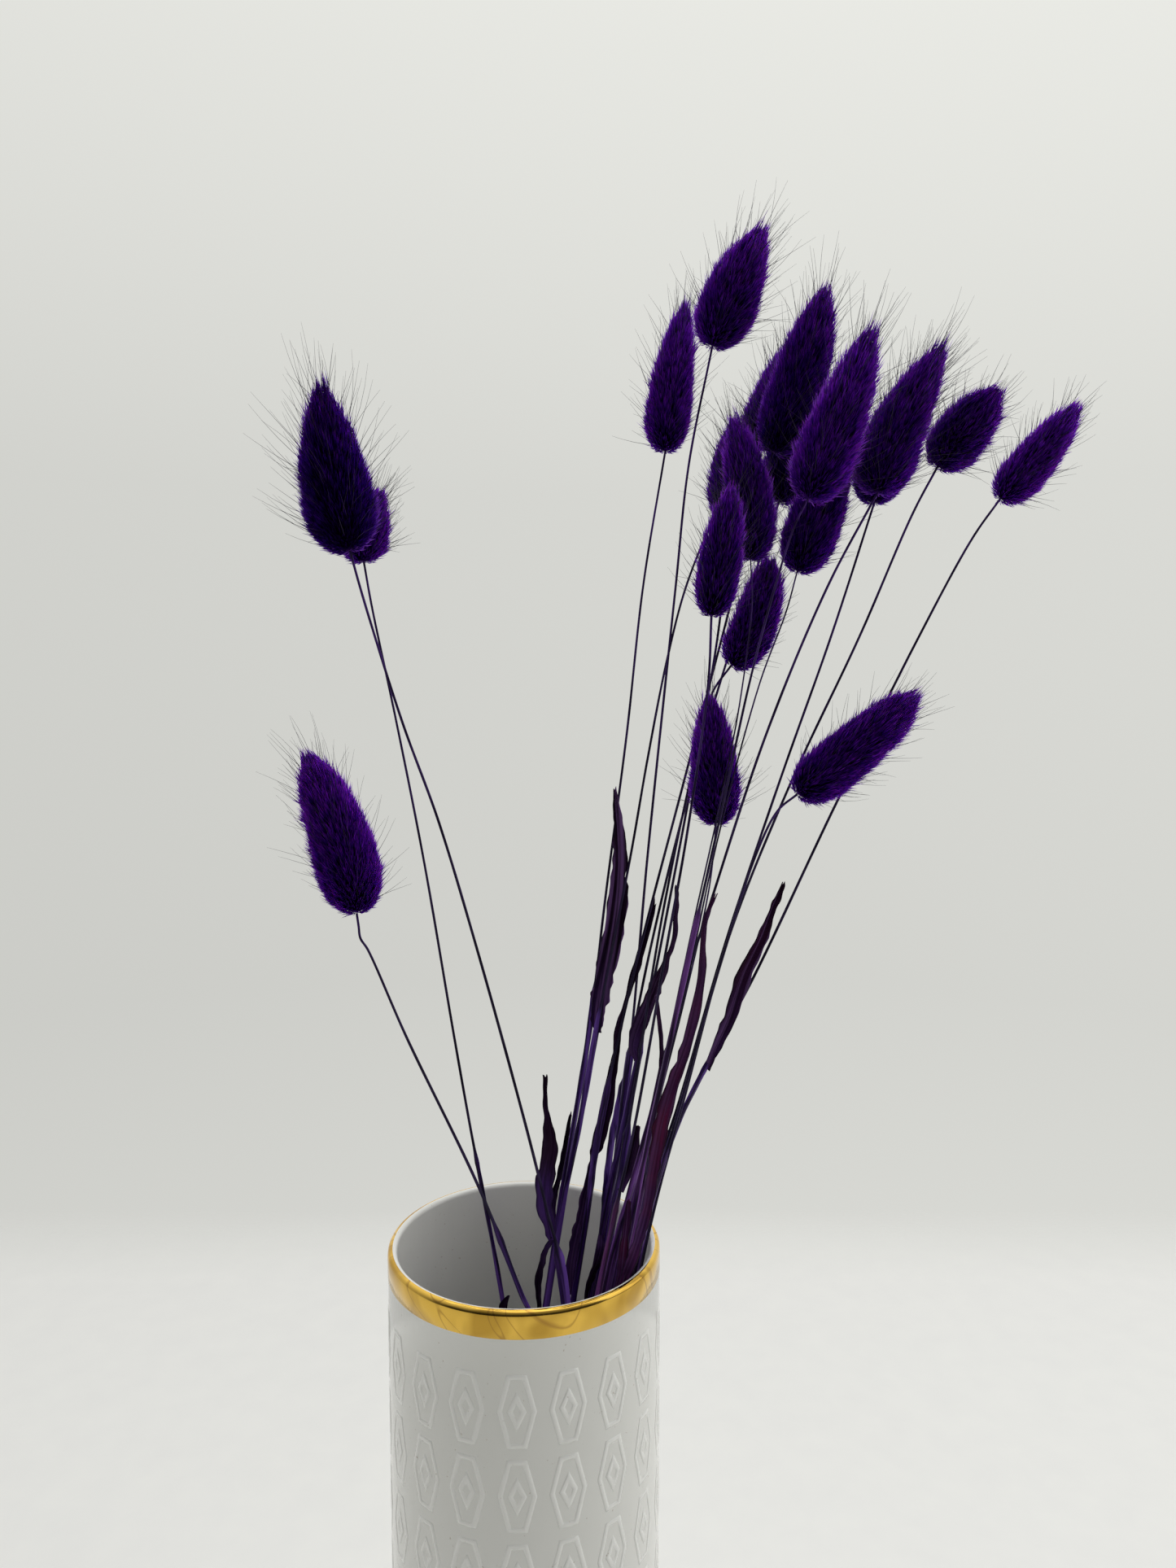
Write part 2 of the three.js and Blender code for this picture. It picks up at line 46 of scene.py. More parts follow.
# Each stalk stands on the vase's floor at foot, follows its route over the rim and ends at its
# neck. Millimetres, with all heights above the rim.
# sheath is the height at which its leaf sheath ends and the sheath's radius. slim thins the sheath,
# and fine thins the bare culm above it.
# head is the head's tip, its width, where it is widest, how pointed it is, how long its awns are,
# how far its lower half bows to the side and how light its dye is.
stalks = [
    {
        "foot": [23, -20], "sheath": [11, 1.2],
        "route": [[11, -22, 0], [6.7, -22.4, 20], [1.9, -23, 40.5], [-9.2, -24, 83.5], [-19, -24.5, 118],
            [-27.5, -25, 142.5], [-36, -25.5, 171]],
        "neck": [-39, -26, 182.5],
        "head": {"tip": [-44.5, -30, 220.5], "wide": 17, "widest": 0.34, "point": 1.1,
                 "awn": 15, "bow": 0, "dye": 0.35},
    },
    {
        "foot": [12, 28], "sheath": [16, 0.7],
        "route": [[-8.2, 24.6, -31], [-13.3, 24, 0], [-16.7, 23, 20], [-21.2, 21, 49.5],
            [-28.8, 17.5, 101.5], [-35.8, 14.5, 142.5], [-41.4, 12.5, 172.5]],
        "neck": [-43.2, 12, 184],
        "head": {"tip": [-37.7, 6, 201.5], "wide": 12.4, "widest": 0.4, "point": 0.9,
                 "awn": 10, "bow": 0, "dye": 1.8},
    },
    {
        "foot": [13, -28], "sheath": [18, 0.75],
        "route": [[5.7, -28.9, -12], [0.7, -28.5, 0], [-9.5, -24.5, 24.5], [-28.5, -19, 62.5],
            [-38.5, -15.5, 84], [-40.5, -15, 87], [-41, -14.5, 90]],
        "neck": [-41.5, -14, 93],
        "head": {"tip": [-55, -8, 133.5], "wide": 16, "widest": 0.36, "point": 0.75,
                 "awn": 12, "bow": 1, "dye": 1.3},
    },
    {
        "foot": [1.5, 16.2], "sheath": [42, 1.1],
        "route": [[22.2, 16.2, 0], [22.9, 15.9, 9], [24.3, 15.6, 22], [26.8, 15.5, 34], [29, 15.5, 46],
            [34, 13, 104.5], [41, 10, 177.5], [44.2, 9, 209.5]],
        "neck": [50, 8, 239.5],
        "head": {"tip": [61.5, 0, 266.5], "wide": 15, "widest": 0.38, "point": 0.95,
                 "awn": 13, "bow": 1.5, "dye": 1.8},
    },
    {
        "foot": [-17, 22], "sheath": [66, 1.15], "slim": 0.75,
        "route": [[9.5, 23, 0], [17.5, 23.5, 49], [22.5, 24.5, 90.5], [28.5, 25, 137.5], [33, 25.5, 179]],
        "neck": [39, 26, 216],
        "head": {"tip": [45, 30, 258], "wide": 12, "widest": 0.3, "point": 1,
                 "awn": 12, "bow": -2, "dye": 1.9},
    },
    {
        "foot": [-14, 8], "sheath": [44, 0.95],
        "route": [[16.7, 8, 0], [20, 8, 24.5], [29, 8, 67.5], [43.5, 8.5, 125], [53.5, 7.5, 164.5],
            [60, 4.5, 192]],
        "neck": [65, 0, 210.5],
        "head": {"tip": [77, -5, 250], "wide": 14, "widest": 0.34, "point": 0.85,
                 "awn": 13, "bow": 1.7, "dye": 1.0},
    },
    {
        "foot": [-5.5, -16.5], "sheath": [97, 0.7], "fine": 0.85,
        "route": [[26.5, -16.5, 0], [32, -18, 31], [41.5, -20.5, 78.5], [50, -23, 120], [57.5, -25, 157],
            [66, -26.5, 188]],
        "neck": [69, -27, 194.5],
        "head": {"tip": [83, -30, 233], "wide": 13.8, "widest": 0.3, "point": 1,
                 "awn": 14, "bow": -0.8, "dye": 1.7},
    },
    {
        "foot": [-2.5, -9], "sheath": [30, 0.95],
        "route": [[29.5, -9, 0], [33.5, -10, 32], [41.5, -11, 70.5], [49.5, -11.5, 97.5],
            [62.5, -12.5, 139], [77, -13.5, 175.5]],
        "neck": [88.6, -14, 198],
        "head": {"tip": [102.6, -18, 232.5], "wide": 14, "widest": 0.3, "point": 1.05,
                 "awn": 14, "bow": -4.5, "dye": 1.2},
    },
    {
        "foot": [0.3, -4.5], "sheath": [-10, 0.9],
        "route": [[33, -4.5, 0], [43.5, -3.5, 42], [55, -2.5, 85], [71, -1.5, 126], [88.3, -1, 164],
            [101.6, 0, 195.5]],
        "neck": [107.5, 0, 207],
        "head": {"tip": [115.8, -18, 221.5], "wide": 13.4, "widest": 0.42, "point": 0.8,
                 "awn": 10, "bow": 1.5, "dye": 1.3},
    },
    {
        "foot": [0.4, -1.2], "sheath": [52, 0.85],
        "route": [[32.4, -1.2, 0], [40, 0.5, 27.5], [50.5, 1.5, 50], [62.5, 3, 72.5], [84, 5.5, 118.5],
            [106.5, 8, 164.5], [120.5, 9.5, 190.5]],
        "neck": [127.5, 10, 200.5],
        "head": {"tip": [143, 0, 222.5], "wide": 11.1, "widest": 0.34, "point": 0.8,
                 "awn": 10, "bow": 2.5, "dye": 2.8},
    },
    {
        "foot": [-6.5, -14], "sheath": [60, 1], "fine": 0.6,
        "route": [[23.4, -14.6, 0], [28.4, -14.6, 20], [35, -14.5, 45], [43.5, -15, 87.5],
            [51.5, -15.5, 126], [55.5, -15.5, 148.5], [58, -15.5, 171.5]],
        "neck": [57.5, -15.5, 181.5],
        "head": {"tip": [52.5, -18, 215], "wide": 11.3, "widest": 0.36, "point": 0.8,
                 "awn": 11, "bow": 2, "dye": 1.4},
    },
    {
        "foot": [-17.5, 18], "sheath": [60, 1.15], "slim": 0.75,
        "route": [[10, 18, 0], [15, 18.5, 25], [20, 19.5, 53.5], [29.6, 22.5, 102.5],
            [34.5, 24.5, 130.5], [40, 26.5, 158.5], [45.5, 28, 179.5], [54, 30, 200]],
        "neck": [64.5, 32, 219],
        "head": {"tip": [76, 38, 248.5], "wide": 14.2, "widest": 0.36, "point": 0.85,
                 "awn": 12, "bow": 1.5, "dye": 1.3},
    },
    {
        "foot": [-8.5, 13], "sheath": [52, 1.05],
        "route": [[23.5, 13, 0], [29.5, 13, 49], [37, 13, 87.5], [49, 13.5, 135.5], [60, 13.5, 172.5]],
        "neck": [69, 14, 200],
        "head": {"tip": [75.5, 18, 237.5], "wide": 13.2, "widest": 0.34, "point": 0.9,
                 "awn": 11, "bow": 0, "dye": 1.0},
    },
    {
        "foot": [-4, -11.5], "sheath": [26, 0.9], "fine": 0.65,
        "route": [[28, -11.5, 0], [34.5, -13, 37], [43, -13.5, 76], [50.5, -13.5, 113],
            [60.5, -13, 151.5], [67, -12.5, 169.5]],
        "neck": [69.5, -12.5, 179],
        "head": {"tip": [81.5, -8, 214], "wide": 13.2, "widest": 0.34, "point": 0.9,
                 "awn": 11, "bow": 1.2, "dye": 1.2},
    },
    {
        "foot": [-11, -19], "sheath": [22, 0.75],
        "route": [[21, -19, 0], [29.5, -20.5, 41.5], [36.5, -23, 84.5], [41.5, -25, 115],
            [46, -28, 151.5]],
        "neck": [46.5, -29, 167],
        "head": {"tip": [50.5, -33, 196], "wide": 9.6, "widest": 0.4, "point": 0.8,
                 "awn": 10, "bow": 1.2, "dye": 1.4},
    },
    {
        "foot": [-8, 5.5], "sheath": [32, 0.95],
        "route": [[24, 5.5, 0], [30.5, 4.5, 42.5], [37.5, 3.5, 89], [47.5, 2.5, 138.5], [50.5, 2, 149.5]],
        "neck": [55, 2, 156],
        "head": {"tip": [64, -4, 183], "wide": 11.6, "widest": 0.36, "point": 0.6,
                 "awn": 8, "bow": 1.5, "dye": 1.5},
    },
    {
        "foot": [-4.5, 3], "sheath": [20, 0.9], "fine": 0.7,
        "route": [[27.5, 3, 0], [34, 1.5, 27.5], [43.5, -1, 68], [49.5, -2.5, 98]],
        "neck": [51, -3.5, 114.5],
        "head": {"tip": [48.5, -8, 148.5], "wide": 12.4, "widest": 0.34, "point": 0.95,
                 "awn": 11, "bow": -1.5, "dye": 1.6},
    },
    {
        "foot": [-0.8, -7.2], "sheath": [30, 0.85],
        "route": [[31.2, -7.2, 0], [41, -9, 38.5], [52.5, -11.5, 82.5], [60.5, -13, 109],
            [65.5, -13.5, 119.5]],
        "neck": [70, -14, 123.5],
        "head": {"tip": [99.5, -14, 148.5], "wide": 13, "widest": 0.3, "point": 0.55,
                 "awn": 10, "bow": 2, "dye": 1.4},
    },
    {
        "foot": [-10, 10.5], "sheath": [54, 1],
        "route": [[22, 10.5, 0], [30, 9.5, 40], [39, 8.5, 88], [45.5, 7, 125], [52, 5.5, 164.5]],
        "neck": [54.5, 4, 193],
        "head": {"tip": [56.5, 8, 220], "wide": 12, "widest": 0.4, "point": 0.8,
                 "awn": 9, "bow": 0, "dye": 1.1},
    },
    {
        "foot": [-1, 1.6], "sheath": [24, 0.85],
        "route": [[31, 1.6, 0], [42.5, 2, 38.5], [54.5, 3.5, 81], [69, 5, 125.5], [82.5, 6.5, 164.5]],
        "neck": [93.4, 8, 199],
        "head": {"tip": [109.5, 8, 237], "wide": 14, "widest": 0.32, "point": 0.95,
                 "awn": 12, "bow": -4, "dye": 0.8},
    },
]

# Each leaf grows from the stem of its stalk, counted from one. Each point of its blade is x, y,
# height and width. face turns the blade about its own length, in degrees, at its root and its tip.
# red and pale are how far it has turned wine red and how pale its streaks are. young is how far it
# has kept the violet of its sheath near its root.
leaves = [
    {
        "stalk": 12, "face": [10, -20], "red": 0.05, "pale": 1.3,
        "blade": [[20.2, 19.5, 51.5, 1.8], [20.3, 20.9, 56, 4], [21.4, 21.6, 64, 5.2],
            [23.4, 22.4, 75, 5.6], [25.4, 23, 88, 5.6], [26.3, 22.8, 101, 4.2], [25.6, 21.5, 113, 2.4],
            [24.7, 19.5, 123, 0.8]],
    },
    {
        "stalk": 1, "face": [0, 25], "red": 0.1, "pale": 0.05, "young": 1.8,
        "blade": [[8.2, -21.8, 10.5, 1.6], [7.8, -21, 13, 3], [6.7, -20.8, 18.7, 4.3],
            [6.5, -20.8, 24.7, 4.4], [7.2, -20.8, 29.4, 3.8], [8.1, -20.8, 34, 4.2], [8, -21, 38, 3],
            [7.2, -21, 43, 1.6], [6.8, -21, 48.3, 1.2], [6.8, -21, 54, 1.3]],
    },
    {
        "stalk": 6, "face": [10, -20], "red": 0.1, "pale": 0.35,
        "blade": [[12.2, 8.8, -21, 2.3], [12.7, 8.8, -11.6, 3.1], [14.1, 8.8, -3.9, 2.9],
            [15.2, 8.8, 1.1, 2.1], [16.6, 8.8, 8.5, 2.3], [18.1, 8.8, 14.9, 2], [18.9, 8.8, 19, 1.9],
            [20.3, 9, 24.5, 3.6], [23, 9, 36.5, 3.1], [24.4, 9, 45.1, 2.1], [25.2, 9, 50.4, 1.7],
            [25.7, 9, 55.8, 2.3], [27.5, 9.4, 62.6, 1], [30, 9.4, 71.6, 2.1], [31.7, 9.4, 77.5, 1.9],
            [34.4, 9.8, 87, 1.4], [36, 10, 93, 0.8]],
    },
    {
        "stalk": 19, "face": [15, -40], "red": 0.12, "pale": 0.3,
        "blade": [[31, 9, 47, 1.6], [30, 7.8, 51, 3], [31, 7.2, 56, 3.8], [33.6, 7, 63, 3.6],
            [35.6, 6.8, 68.5, 3.6], [38, 6.4, 74.5, 2.4], [40.4, 6.2, 81, 1.4], [41.2, 6, 91, 1.2],
            [41.2, 6, 97, 0.8]],
    },
    {
        "stalk": 7, "face": [-10, 30], "red": 1.0, "pale": 0.32,
        "blade": [[25.2, -16.9, -8, 1.8], [26.8, -18, -1.5, 2.4], [28.9, -19.3, 5, 2.8],
            [30.7, -21, 12, 2.8], [32.3, -22, 19, 2.8], [33.6, -23, 28, 2.8], [34.9, -23.3, 36, 3.6],
            [36, -23.4, 42, 4], [38.6, -24, 52, 3.2], [42.3, -25.4, 64, 2.4], [45.3, -26, 79, 2],
            [46.3, -26, 94, 1.2], [49, -26, 101, 0.7]],
    },
    {
        "stalk": 10, "face": [20, -30], "red": 0.2, "pale": 0.7,
        "blade": [[49.9, 1.4, 47, 1.6], [51.9, 0.2, 53, 2.6], [55.4, -0.2, 61.5, 3.2],
            [58.9, 0.2, 73, 4], [63.9, 0.6, 84, 3.2], [66.9, 1, 92, 2], [69.9, 1.4, 99, 0.8]],
    },
    {
        "stalk": 16, "face": [0, 20], "red": 0.1, "pale": 0.4,
        "blade": [[26.3, 5, 11, 1.6], [28.4, 6.6, 15, 2.2], [29.8, 7, 21, 3], [31.4, 6.8, 29.6, 1.8]],
    },
    {
        "stalk": 5, "face": [0, 20], "red": 0.0, "pale": 0.15,
        "blade": [[7.6, 23.4, -12, 1.2], [7, 25.2, -6, 1.6], [7.6, 25.6, 1, 1.6], [9.3, 25.8, 7, 1.6],
            [10.8, 26, 15, 1.4], [12.6, 26.2, 26, 0.8]],
    },
    {
        "stalk": 7, "face": [15, -15], "red": 0.7, "pale": 0.8,
        "blade": [[25, -17, -6, 1.4], [26, -18, 0, 2.2], [26.6, -18.4, 6, 2.4], [27.2, -18.8, 13, 2],
            [27.8, -19, 20, 1]],
    },
    {
        "stalk": 2, "face": [0, 15], "red": 0.1, "pale": 0.2,
        "blade": [[-6.4, 24.8, -44, 1.2], [-6.6, 24.4, -42, 1.4], [-7.8, 24, -37, 3],
            [-7.6, 23.6, -33, 2.6], [-6, 23.4, -29.5, 0.8]],
    },
    {
        "stalk": 19, "face": [0, 30], "red": 0.05, "pale": 0.3,
        "blade": [[21.2, 10.2, -4, 1.4], [21, 9, -7, 2.4], [19.9, 8.8, -11.5, 2.4],
            [18.3, 8.8, -15.5, 2], [17, 9, -19.5, 1.2], [16.6, 9.2, -26, 0.9]],
    },
    {
        "stalk": 1, "face": [0, -20], "red": 0.0, "pale": 0.1,
        "blade": [[8.6, -21.6, 11, 1.2], [6.8, -21, 8, 1.4], [5.4, -20.4, 3, 1.5], [4.7, -20, -3, 1.6],
            [5, -20, -9, 1.2], [5.6, -20, -18, 0.8]],
    },
    {
        "stalk": 11, "face": [0, 20], "red": 0.3, "pale": 0.5,
        "blade": [[35.2, -14.8, 45.5, 0.9], [35.8, -16, 50, 1], [36.2, -16.2, 56, 1],
            [36, -16.2, 62, 1], [35.4, -16.2, 68, 0.9], [34.9, -16.2, 73, 0.7]],
    },
]


def mix(a, b, share):
    return a + (b - a) * share


def smooth(share):
    share = np.clip(share, 0, 1)
    return share * share * (3 - 2 * share)


def unit(vectors):
    return vectors / np.maximum(np.linalg.norm(vectors, axis=-1, keepdims=True), 1e-12)


def lengthOf(points):
    return np.linalg.norm(np.diff(points, axis=0), axis=1).sum()


# Points at shares of a centripetal Catmull-Rom curve. Past its last point the curve runs on straight.
def alongRoute(points, shares):
    points = np.asarray(points, float)
    shares = np.asarray(shares, float)
    ends = np.vstack([2 * points[:1] - points[1:2], points, 2 * points[-1:] - points[-2:-1]])
    spot = np.clip(shares, 0, 1) * (len(points) - 1)
    first = np.minimum(spot.astype(int), len(points) - 2)
    w = (spot - first)[:, None]
    p0, p1, p2, p3 = (ends[first + k] for k in range(4))
    pairs = ((p0, p1), (p1, p2), (p2, p3))
    d0, d1, d2 = (np.sqrt(np.linalg.norm(b - a, axis=1))[:, None] for a, b in pairs)
    t1 = ((p1 - p0) / d0 - (p2 - p0) / (d0 + d1) + (p2 - p1) / d1) * d1
    t2 = ((p2 - p1) / d1 - (p3 - p1) / (d1 + d2) + (p3 - p2) / d2) * d1
    cubic = p1 + w * t1 + w**2 * (3 * (p2 - p1) - 2 * t1 - t2) + w**3 * (2 * (p1 - p2) + t1 + t2)
    beyond = np.maximum(shares - 1, 0)[:, None] * (len(points) - 1)
    return cubic + beyond * t2


# Points at shares of a plain bend with one elbow. Past its end it runs on straight too.
def alongBend(start, elbow, end, shares):
    w = np.clip(shares, 0, 1)[:, None]
    beyond = np.maximum(shares - 1, 0)[:, None]
    bend = (1 - w) ** 2 * start + 2 * w * (1 - w) * elbow + w**2 * end
    return bend + beyond * 2 * (end - elbow)


# Where a curve is at some shares, which way it runs, the side that lies level, and what squares the two.
def framesOn(curve, shares):
    step = 1e-4
    along = unit(curve(shares + step) - curve(np.maximum(shares - step, 0)))
    side = unit(np.cross((0, 1, 0), along))
    return curve(shares), along, side, np.cross(side, along)


def newMesh(bm, name):
    mesh = bpy.data.meshes.new(name)
    bm.to_mesh(mesh)
    bm.free()
    return mesh


def pointsOf(mesh):
    found = np.empty(len(mesh.vertices) * 3, np.float32)
    mesh.vertices.foreach_get("co", found)
    return found.reshape(-1, 3).astype(float)


def place(mesh, points):
    mesh.vertices.foreach_set("co", (points * mm).astype(np.float32).ravel())
    mesh.update()


# Stores a value for each vertex, for a material to read.
def keep(mesh, name, values, kind="FLOAT"):
    made = mesh.attributes.new(name, kind, "POINT")
    field = "vector" if kind == "FLOAT_VECTOR" else "value"
    made.data.foreach_set(field, np.asarray(values, np.float32).ravel())


# Puts a finished mesh in the scene in place of its CAD node.
def addPiece(mesh, materials, node):
    for material in materials:
        mesh.materials.append(material)
    mesh.polygons.foreach_set("use_smooth", [True] * len(mesh.polygons))
    piece = bpy.data.objects.new(mesh.name, mesh)
    bpy.context.scene.collection.objects.link(piece)
    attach(piece, "root")
    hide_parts(node)
    return piece


# Duplicates part of a mesh and returns the vertices of the copy.
def copied(bm, geom):
    made = bmesh.ops.duplicate(bm, geom=geom)["geom"]
    return [v for v in made if isinstance(v, bmesh.types.BMVert)]


# Small helpers for node trees.
def newMaterial(name):
    material = bpy.data.materials.new(name)
    material.use_nodes = True
    tree = material.node_tree
    return material, tree, tree.nodes["Principled BSDF"]


# An input that is given as a socket is linked, and any other value is set on the node itself.
def feed(tree, node, inputs):
    for key, value in inputs.items():
        if isinstance(value, bpy.types.NodeSocket):
            tree.links.new(value, node.inputs[key])
        else:
            node.inputs[key].default_value = value


def add(tree, kind, inputs=None, **settings):
    node = tree.nodes.new("ShaderNode" + kind)
    for key, value in settings.items():
        setattr(node, key, value)
    feed(tree, node, inputs or {})
    return node


def reading(tree, name, output="Fac"):
    return add(tree, "Attribute", attribute_name=name).outputs[output]


def blended(tree, factor, a, b, blend="MIX"):
    return add(tree, "Mix", {0: factor, 6: a, 7: b}, data_type="RGBA", blend_type=blend).outputs[2]


def maths(tree, operation, a, b=0.0):
    return add(tree, "Math", {0: a, 1: b}, operation=operation).outputs[0]


def product(tree, a, b):
    return maths(tree, "MULTIPLY", a, b)


def spread(tree, value, low, high, first=0.0, last=1.0):
    inputs = {0: value, 1: low, 2: high, 3: first, 4: last}
    return add(tree, "MapRange", inputs, clamp=True).outputs[0]


def noise(tree, where, scale, detail, more=None):
    inputs = {"Vector": where, "Scale": scale, "Detail": detail, **(more or {})}
    return add(tree, "TexNoise", inputs).outputs["Fac"]


def bumped(tree, height, strength, distance):
    inputs = {"Height": height, "Strength": strength, "Distance": distance}
    return add(tree, "Bump", inputs).outputs["Normal"]


def newGroup(name, inputs, outputs):
    tree = bpy.data.node_groups.new(name, "ShaderNodeTree")
    for label, kind, value in inputs:
        socket = tree.interface.new_socket(name=label, in_out="INPUT", socket_type="NodeSocket" + kind)
        if value is not None:
            socket.default_value = value
    for label, kind in outputs:
        tree.interface.new_socket(name=label, in_out="OUTPUT", socket_type="NodeSocket" + kind)
    return tree, tree.nodes.new("NodeGroupInput").outputs, tree.nodes.new("NodeGroupOutput").inputs


def useGroup(tree, group, inputs):
    node = tree.nodes.new("ShaderNodeGroup")
    node.node_tree = group
    feed(tree, node, inputs)
    return node.outputs


# Long veins that follow a stem or a blade, with paler streaks where the dye took less, which on the sheaths
# are also painted highlights.
def makeVeins():
    tree, given, result = newGroup(
        "dyedVeins",
        [("Strand", "Vector", None), ("Fineness", "Float", 1700.0), ("Streaks", "Float", 800.0)],
        [("Vein", "Float"), ("Streak", "Float")],
    )
    fine = noise(tree, given["Strand"], given["Fineness"], 2.0)
    wide = noise(tree, given["Strand"], given["Streaks"], 3.0)
    tree.links.new(spread(tree, fine, 0.4, 0.6), result["Vein"])
    tree.links.new(spread(tree, wide, 0.5, 0.62), result["Streak"])
    return tree


# Slow drifts of the dye over a whole piece.
def makeDrift():
    tree, given, result = newGroup(
        "dyeDrift",
        [("Colour", "Color", None), ("Other", "Color", None), ("Size", "Float", 90.0)],
        [("Colour", "Color")],
    )
    where = add(tree, "TexCoord").outputs["Object"]
    share = spread(tree, noise(tree, where, given["Size"], 2.0), 0.35, 0.65)
    tree.links.new(blended(tree, share, given["Colour"], given["Other"]), result["Colour"])
    return tree


veins = makeVeins()
drift = makeDrift()


def drifting(tree, colour, other, size=90.0):
    return useGroup(tree, drift, {"Colour": colour, "Other": other, "Size": size})["Colour"]


# root is painted shade: the nearly black colour of the hair roots and the dense middle, deep in the fur.
furLook = {
    "root": (0.001, 0.0001, 0.004, 1), "tip": (0.043, 0.005, 0.17, 1), "other": (0.032, 0.003, 0.14, 1),
    "driftSize": 120.0, "rootShadeEnd": 0.2, "tipPower": 1.6, "roughness": 0.8,
    "sheen": (0.42, 0.12, 1.0, 1), "sheenWeight": 1.0, "sheenRoughness": 0.3,
    "glow": 0.6, "glowDepth": 0.0006, "glowColour": (0.4, 0.1, 1.0),
}


# Nearly black at the roots, a painted shade deep in the fur, violet at the tips, with each hair's own tone,
# which also carries painted light.
def makeFurMaterial():
    look = furLook
    material, tree, shader = newMaterial("dyedFur")
    outOfRootShade = spread(tree, reading(tree, "reach"), look["rootShadeEnd"], 1.0)
    dye = drifting(tree, look["tip"], look["other"], look["driftSize"])
    colour = blended(tree, maths(tree, "POWER", outOfRootShade, look["tipPower"]), look["root"], dye)
    feed(tree, shader, {
        "Base Color": blended(tree, 1.0, colour, reading(tree, "toneAndPaintedLight", "Color"), "MULTIPLY"),
        "Roughness": look["roughness"],
        "Specular IOR Level": 0.0,
        "Sheen Weight": look["sheenWeight"],
        "Sheen Roughness": look["sheenRoughness"],
        "Sheen Tint": look["sheen"],
        "Subsurface Weight": look["glow"],
        "Subsurface Radius": look["glowColour"],
        "Subsurface Scale": look["glowDepth"],
    })
    return material


awnLook = {
    "root": (0.014, 0.002, 0.05, 1), "tip": (0.06, 0.052, 0.07, 1), "other": (0.018, 0.012, 0.03, 1),
    "driftSize": 200.0, "tipPower": 1.5, "roughness": 0.6, "gloss": 0.1,
}


def makeAwnMaterial():
    look = awnLook
    material, tree, shader = newMaterial("dyedAwn")
    upAwn = maths(tree, "POWER", reading(tree, "reach"), look["tipPower"])
    colour = blended(tree, upAwn, look["root"], look["tip"])
    feed(tree, shader, {
        "Base Color": drifting(tree, colour, look["other"], look["driftSize"]),
        "Roughness": look["roughness"],
        "Specular IOR Level": look["gloss"],
    })
    return material


stemLook = {
    "culm": (0.024, 0.018, 0.045, 1), "culmOther": (0.034, 0.02, 0.075, 1),
    "upper": (0.06, 0.02, 0.17, 1), "upperFrom": 0.5, "upperAll": 0.9,
    "sheath": (0.03, 0.008, 0.12, 1), "sheathOther": (0.05, 0.014, 0.12, 1),
    "wine": (0.075, 0.012, 0.07, 1), "wineOther": (0.05, 0.012, 0.1, 1),
    "vein": (0.004, 0.001, 0.012, 1), "veinDepth": 0.85,
    "streakAndHighlight": (0.16, 0.07, 0.42, 1), "wineStreakAndHighlight": (0.28, 0.08, 0.36, 1), "streakDepth": 0.7,
    "roughness": (0.58, 0.7), "sheathGloss": 0.28, "gloss": 0.12, "bump": (0.4, 0.00008),
}


# Slate culms that turn violet near their heads, in sheaths of violet or wine red.
def makeStemMaterial():
    look = stemLook
    material, tree, shader = newMaterial("dyedStem")
    lines = useGroup(tree, veins, {"Strand": reading(tree, "strand", "Vector")})
    sheath = reading(tree, "sheath")
    red = reading(tree, "red")
    climb = spread(tree, reading(tree, "climb"), look["upperFrom"], look["upperAll"])
    culm = blended(tree, climb, drifting(tree, look["culm"], look["culmOther"]), look["upper"])
    violet = drifting(tree, look["sheath"], look["sheathOther"])
    wine = drifting(tree, look["wine"], look["wineOther"])
    body = blended(tree, sheath, culm, blended(tree, red, violet, wine))
    dark = blended(tree, product(tree, lines["Vein"], look["veinDepth"]), body, look["vein"])
    # Pale streaks on the sheaths: partly uneven dye, partly painted highlights.
    pale = product(tree, product(tree, lines["Streak"], sheath), look["streakDepth"])
    light = blended(tree, red, look["streakAndHighlight"], look["wineStreakAndHighlight"])
    rough = spread(tree, lines["Vein"], 0.0, 1.0, *look["roughness"])
    feed(tree, shader, {
        "Base Color": blended(tree, pale, dark, light),
        "Roughness": maths(tree, "SUBTRACT", rough, product(tree, sheath, look["sheathGloss"])),
        "Normal": bumped(tree, lines["Vein"], *look["bump"]),
        "Specular IOR Level": look["gloss"],
    })
    return material


leafLook = {
    "plain": (0.005, 0.001, 0.009, 1), "plainOther": (0.03, 0.009, 0.045, 1),
    "wine": (0.12, 0.012, 0.06, 1), "wineOther": (0.07, 0.014, 0.08, 1), "young": (0.08, 0.03, 0.2, 1),
    "fineness": 1300.0, "streaks": 560.0, "pale": (0.17, 0.08, 0.25, 1), "streakDepth": 0.8,
    "ribDepth": 0.9, "ribPower": 3.0, "dark": (0.003, 0.001, 0.006, 1), "veinDepth": 0.6, "edgeDepth": 0.8,
    "roughness": (0.42, 0.56), "gloss": 0.05, "bump": (0.5, 0.0001),
}


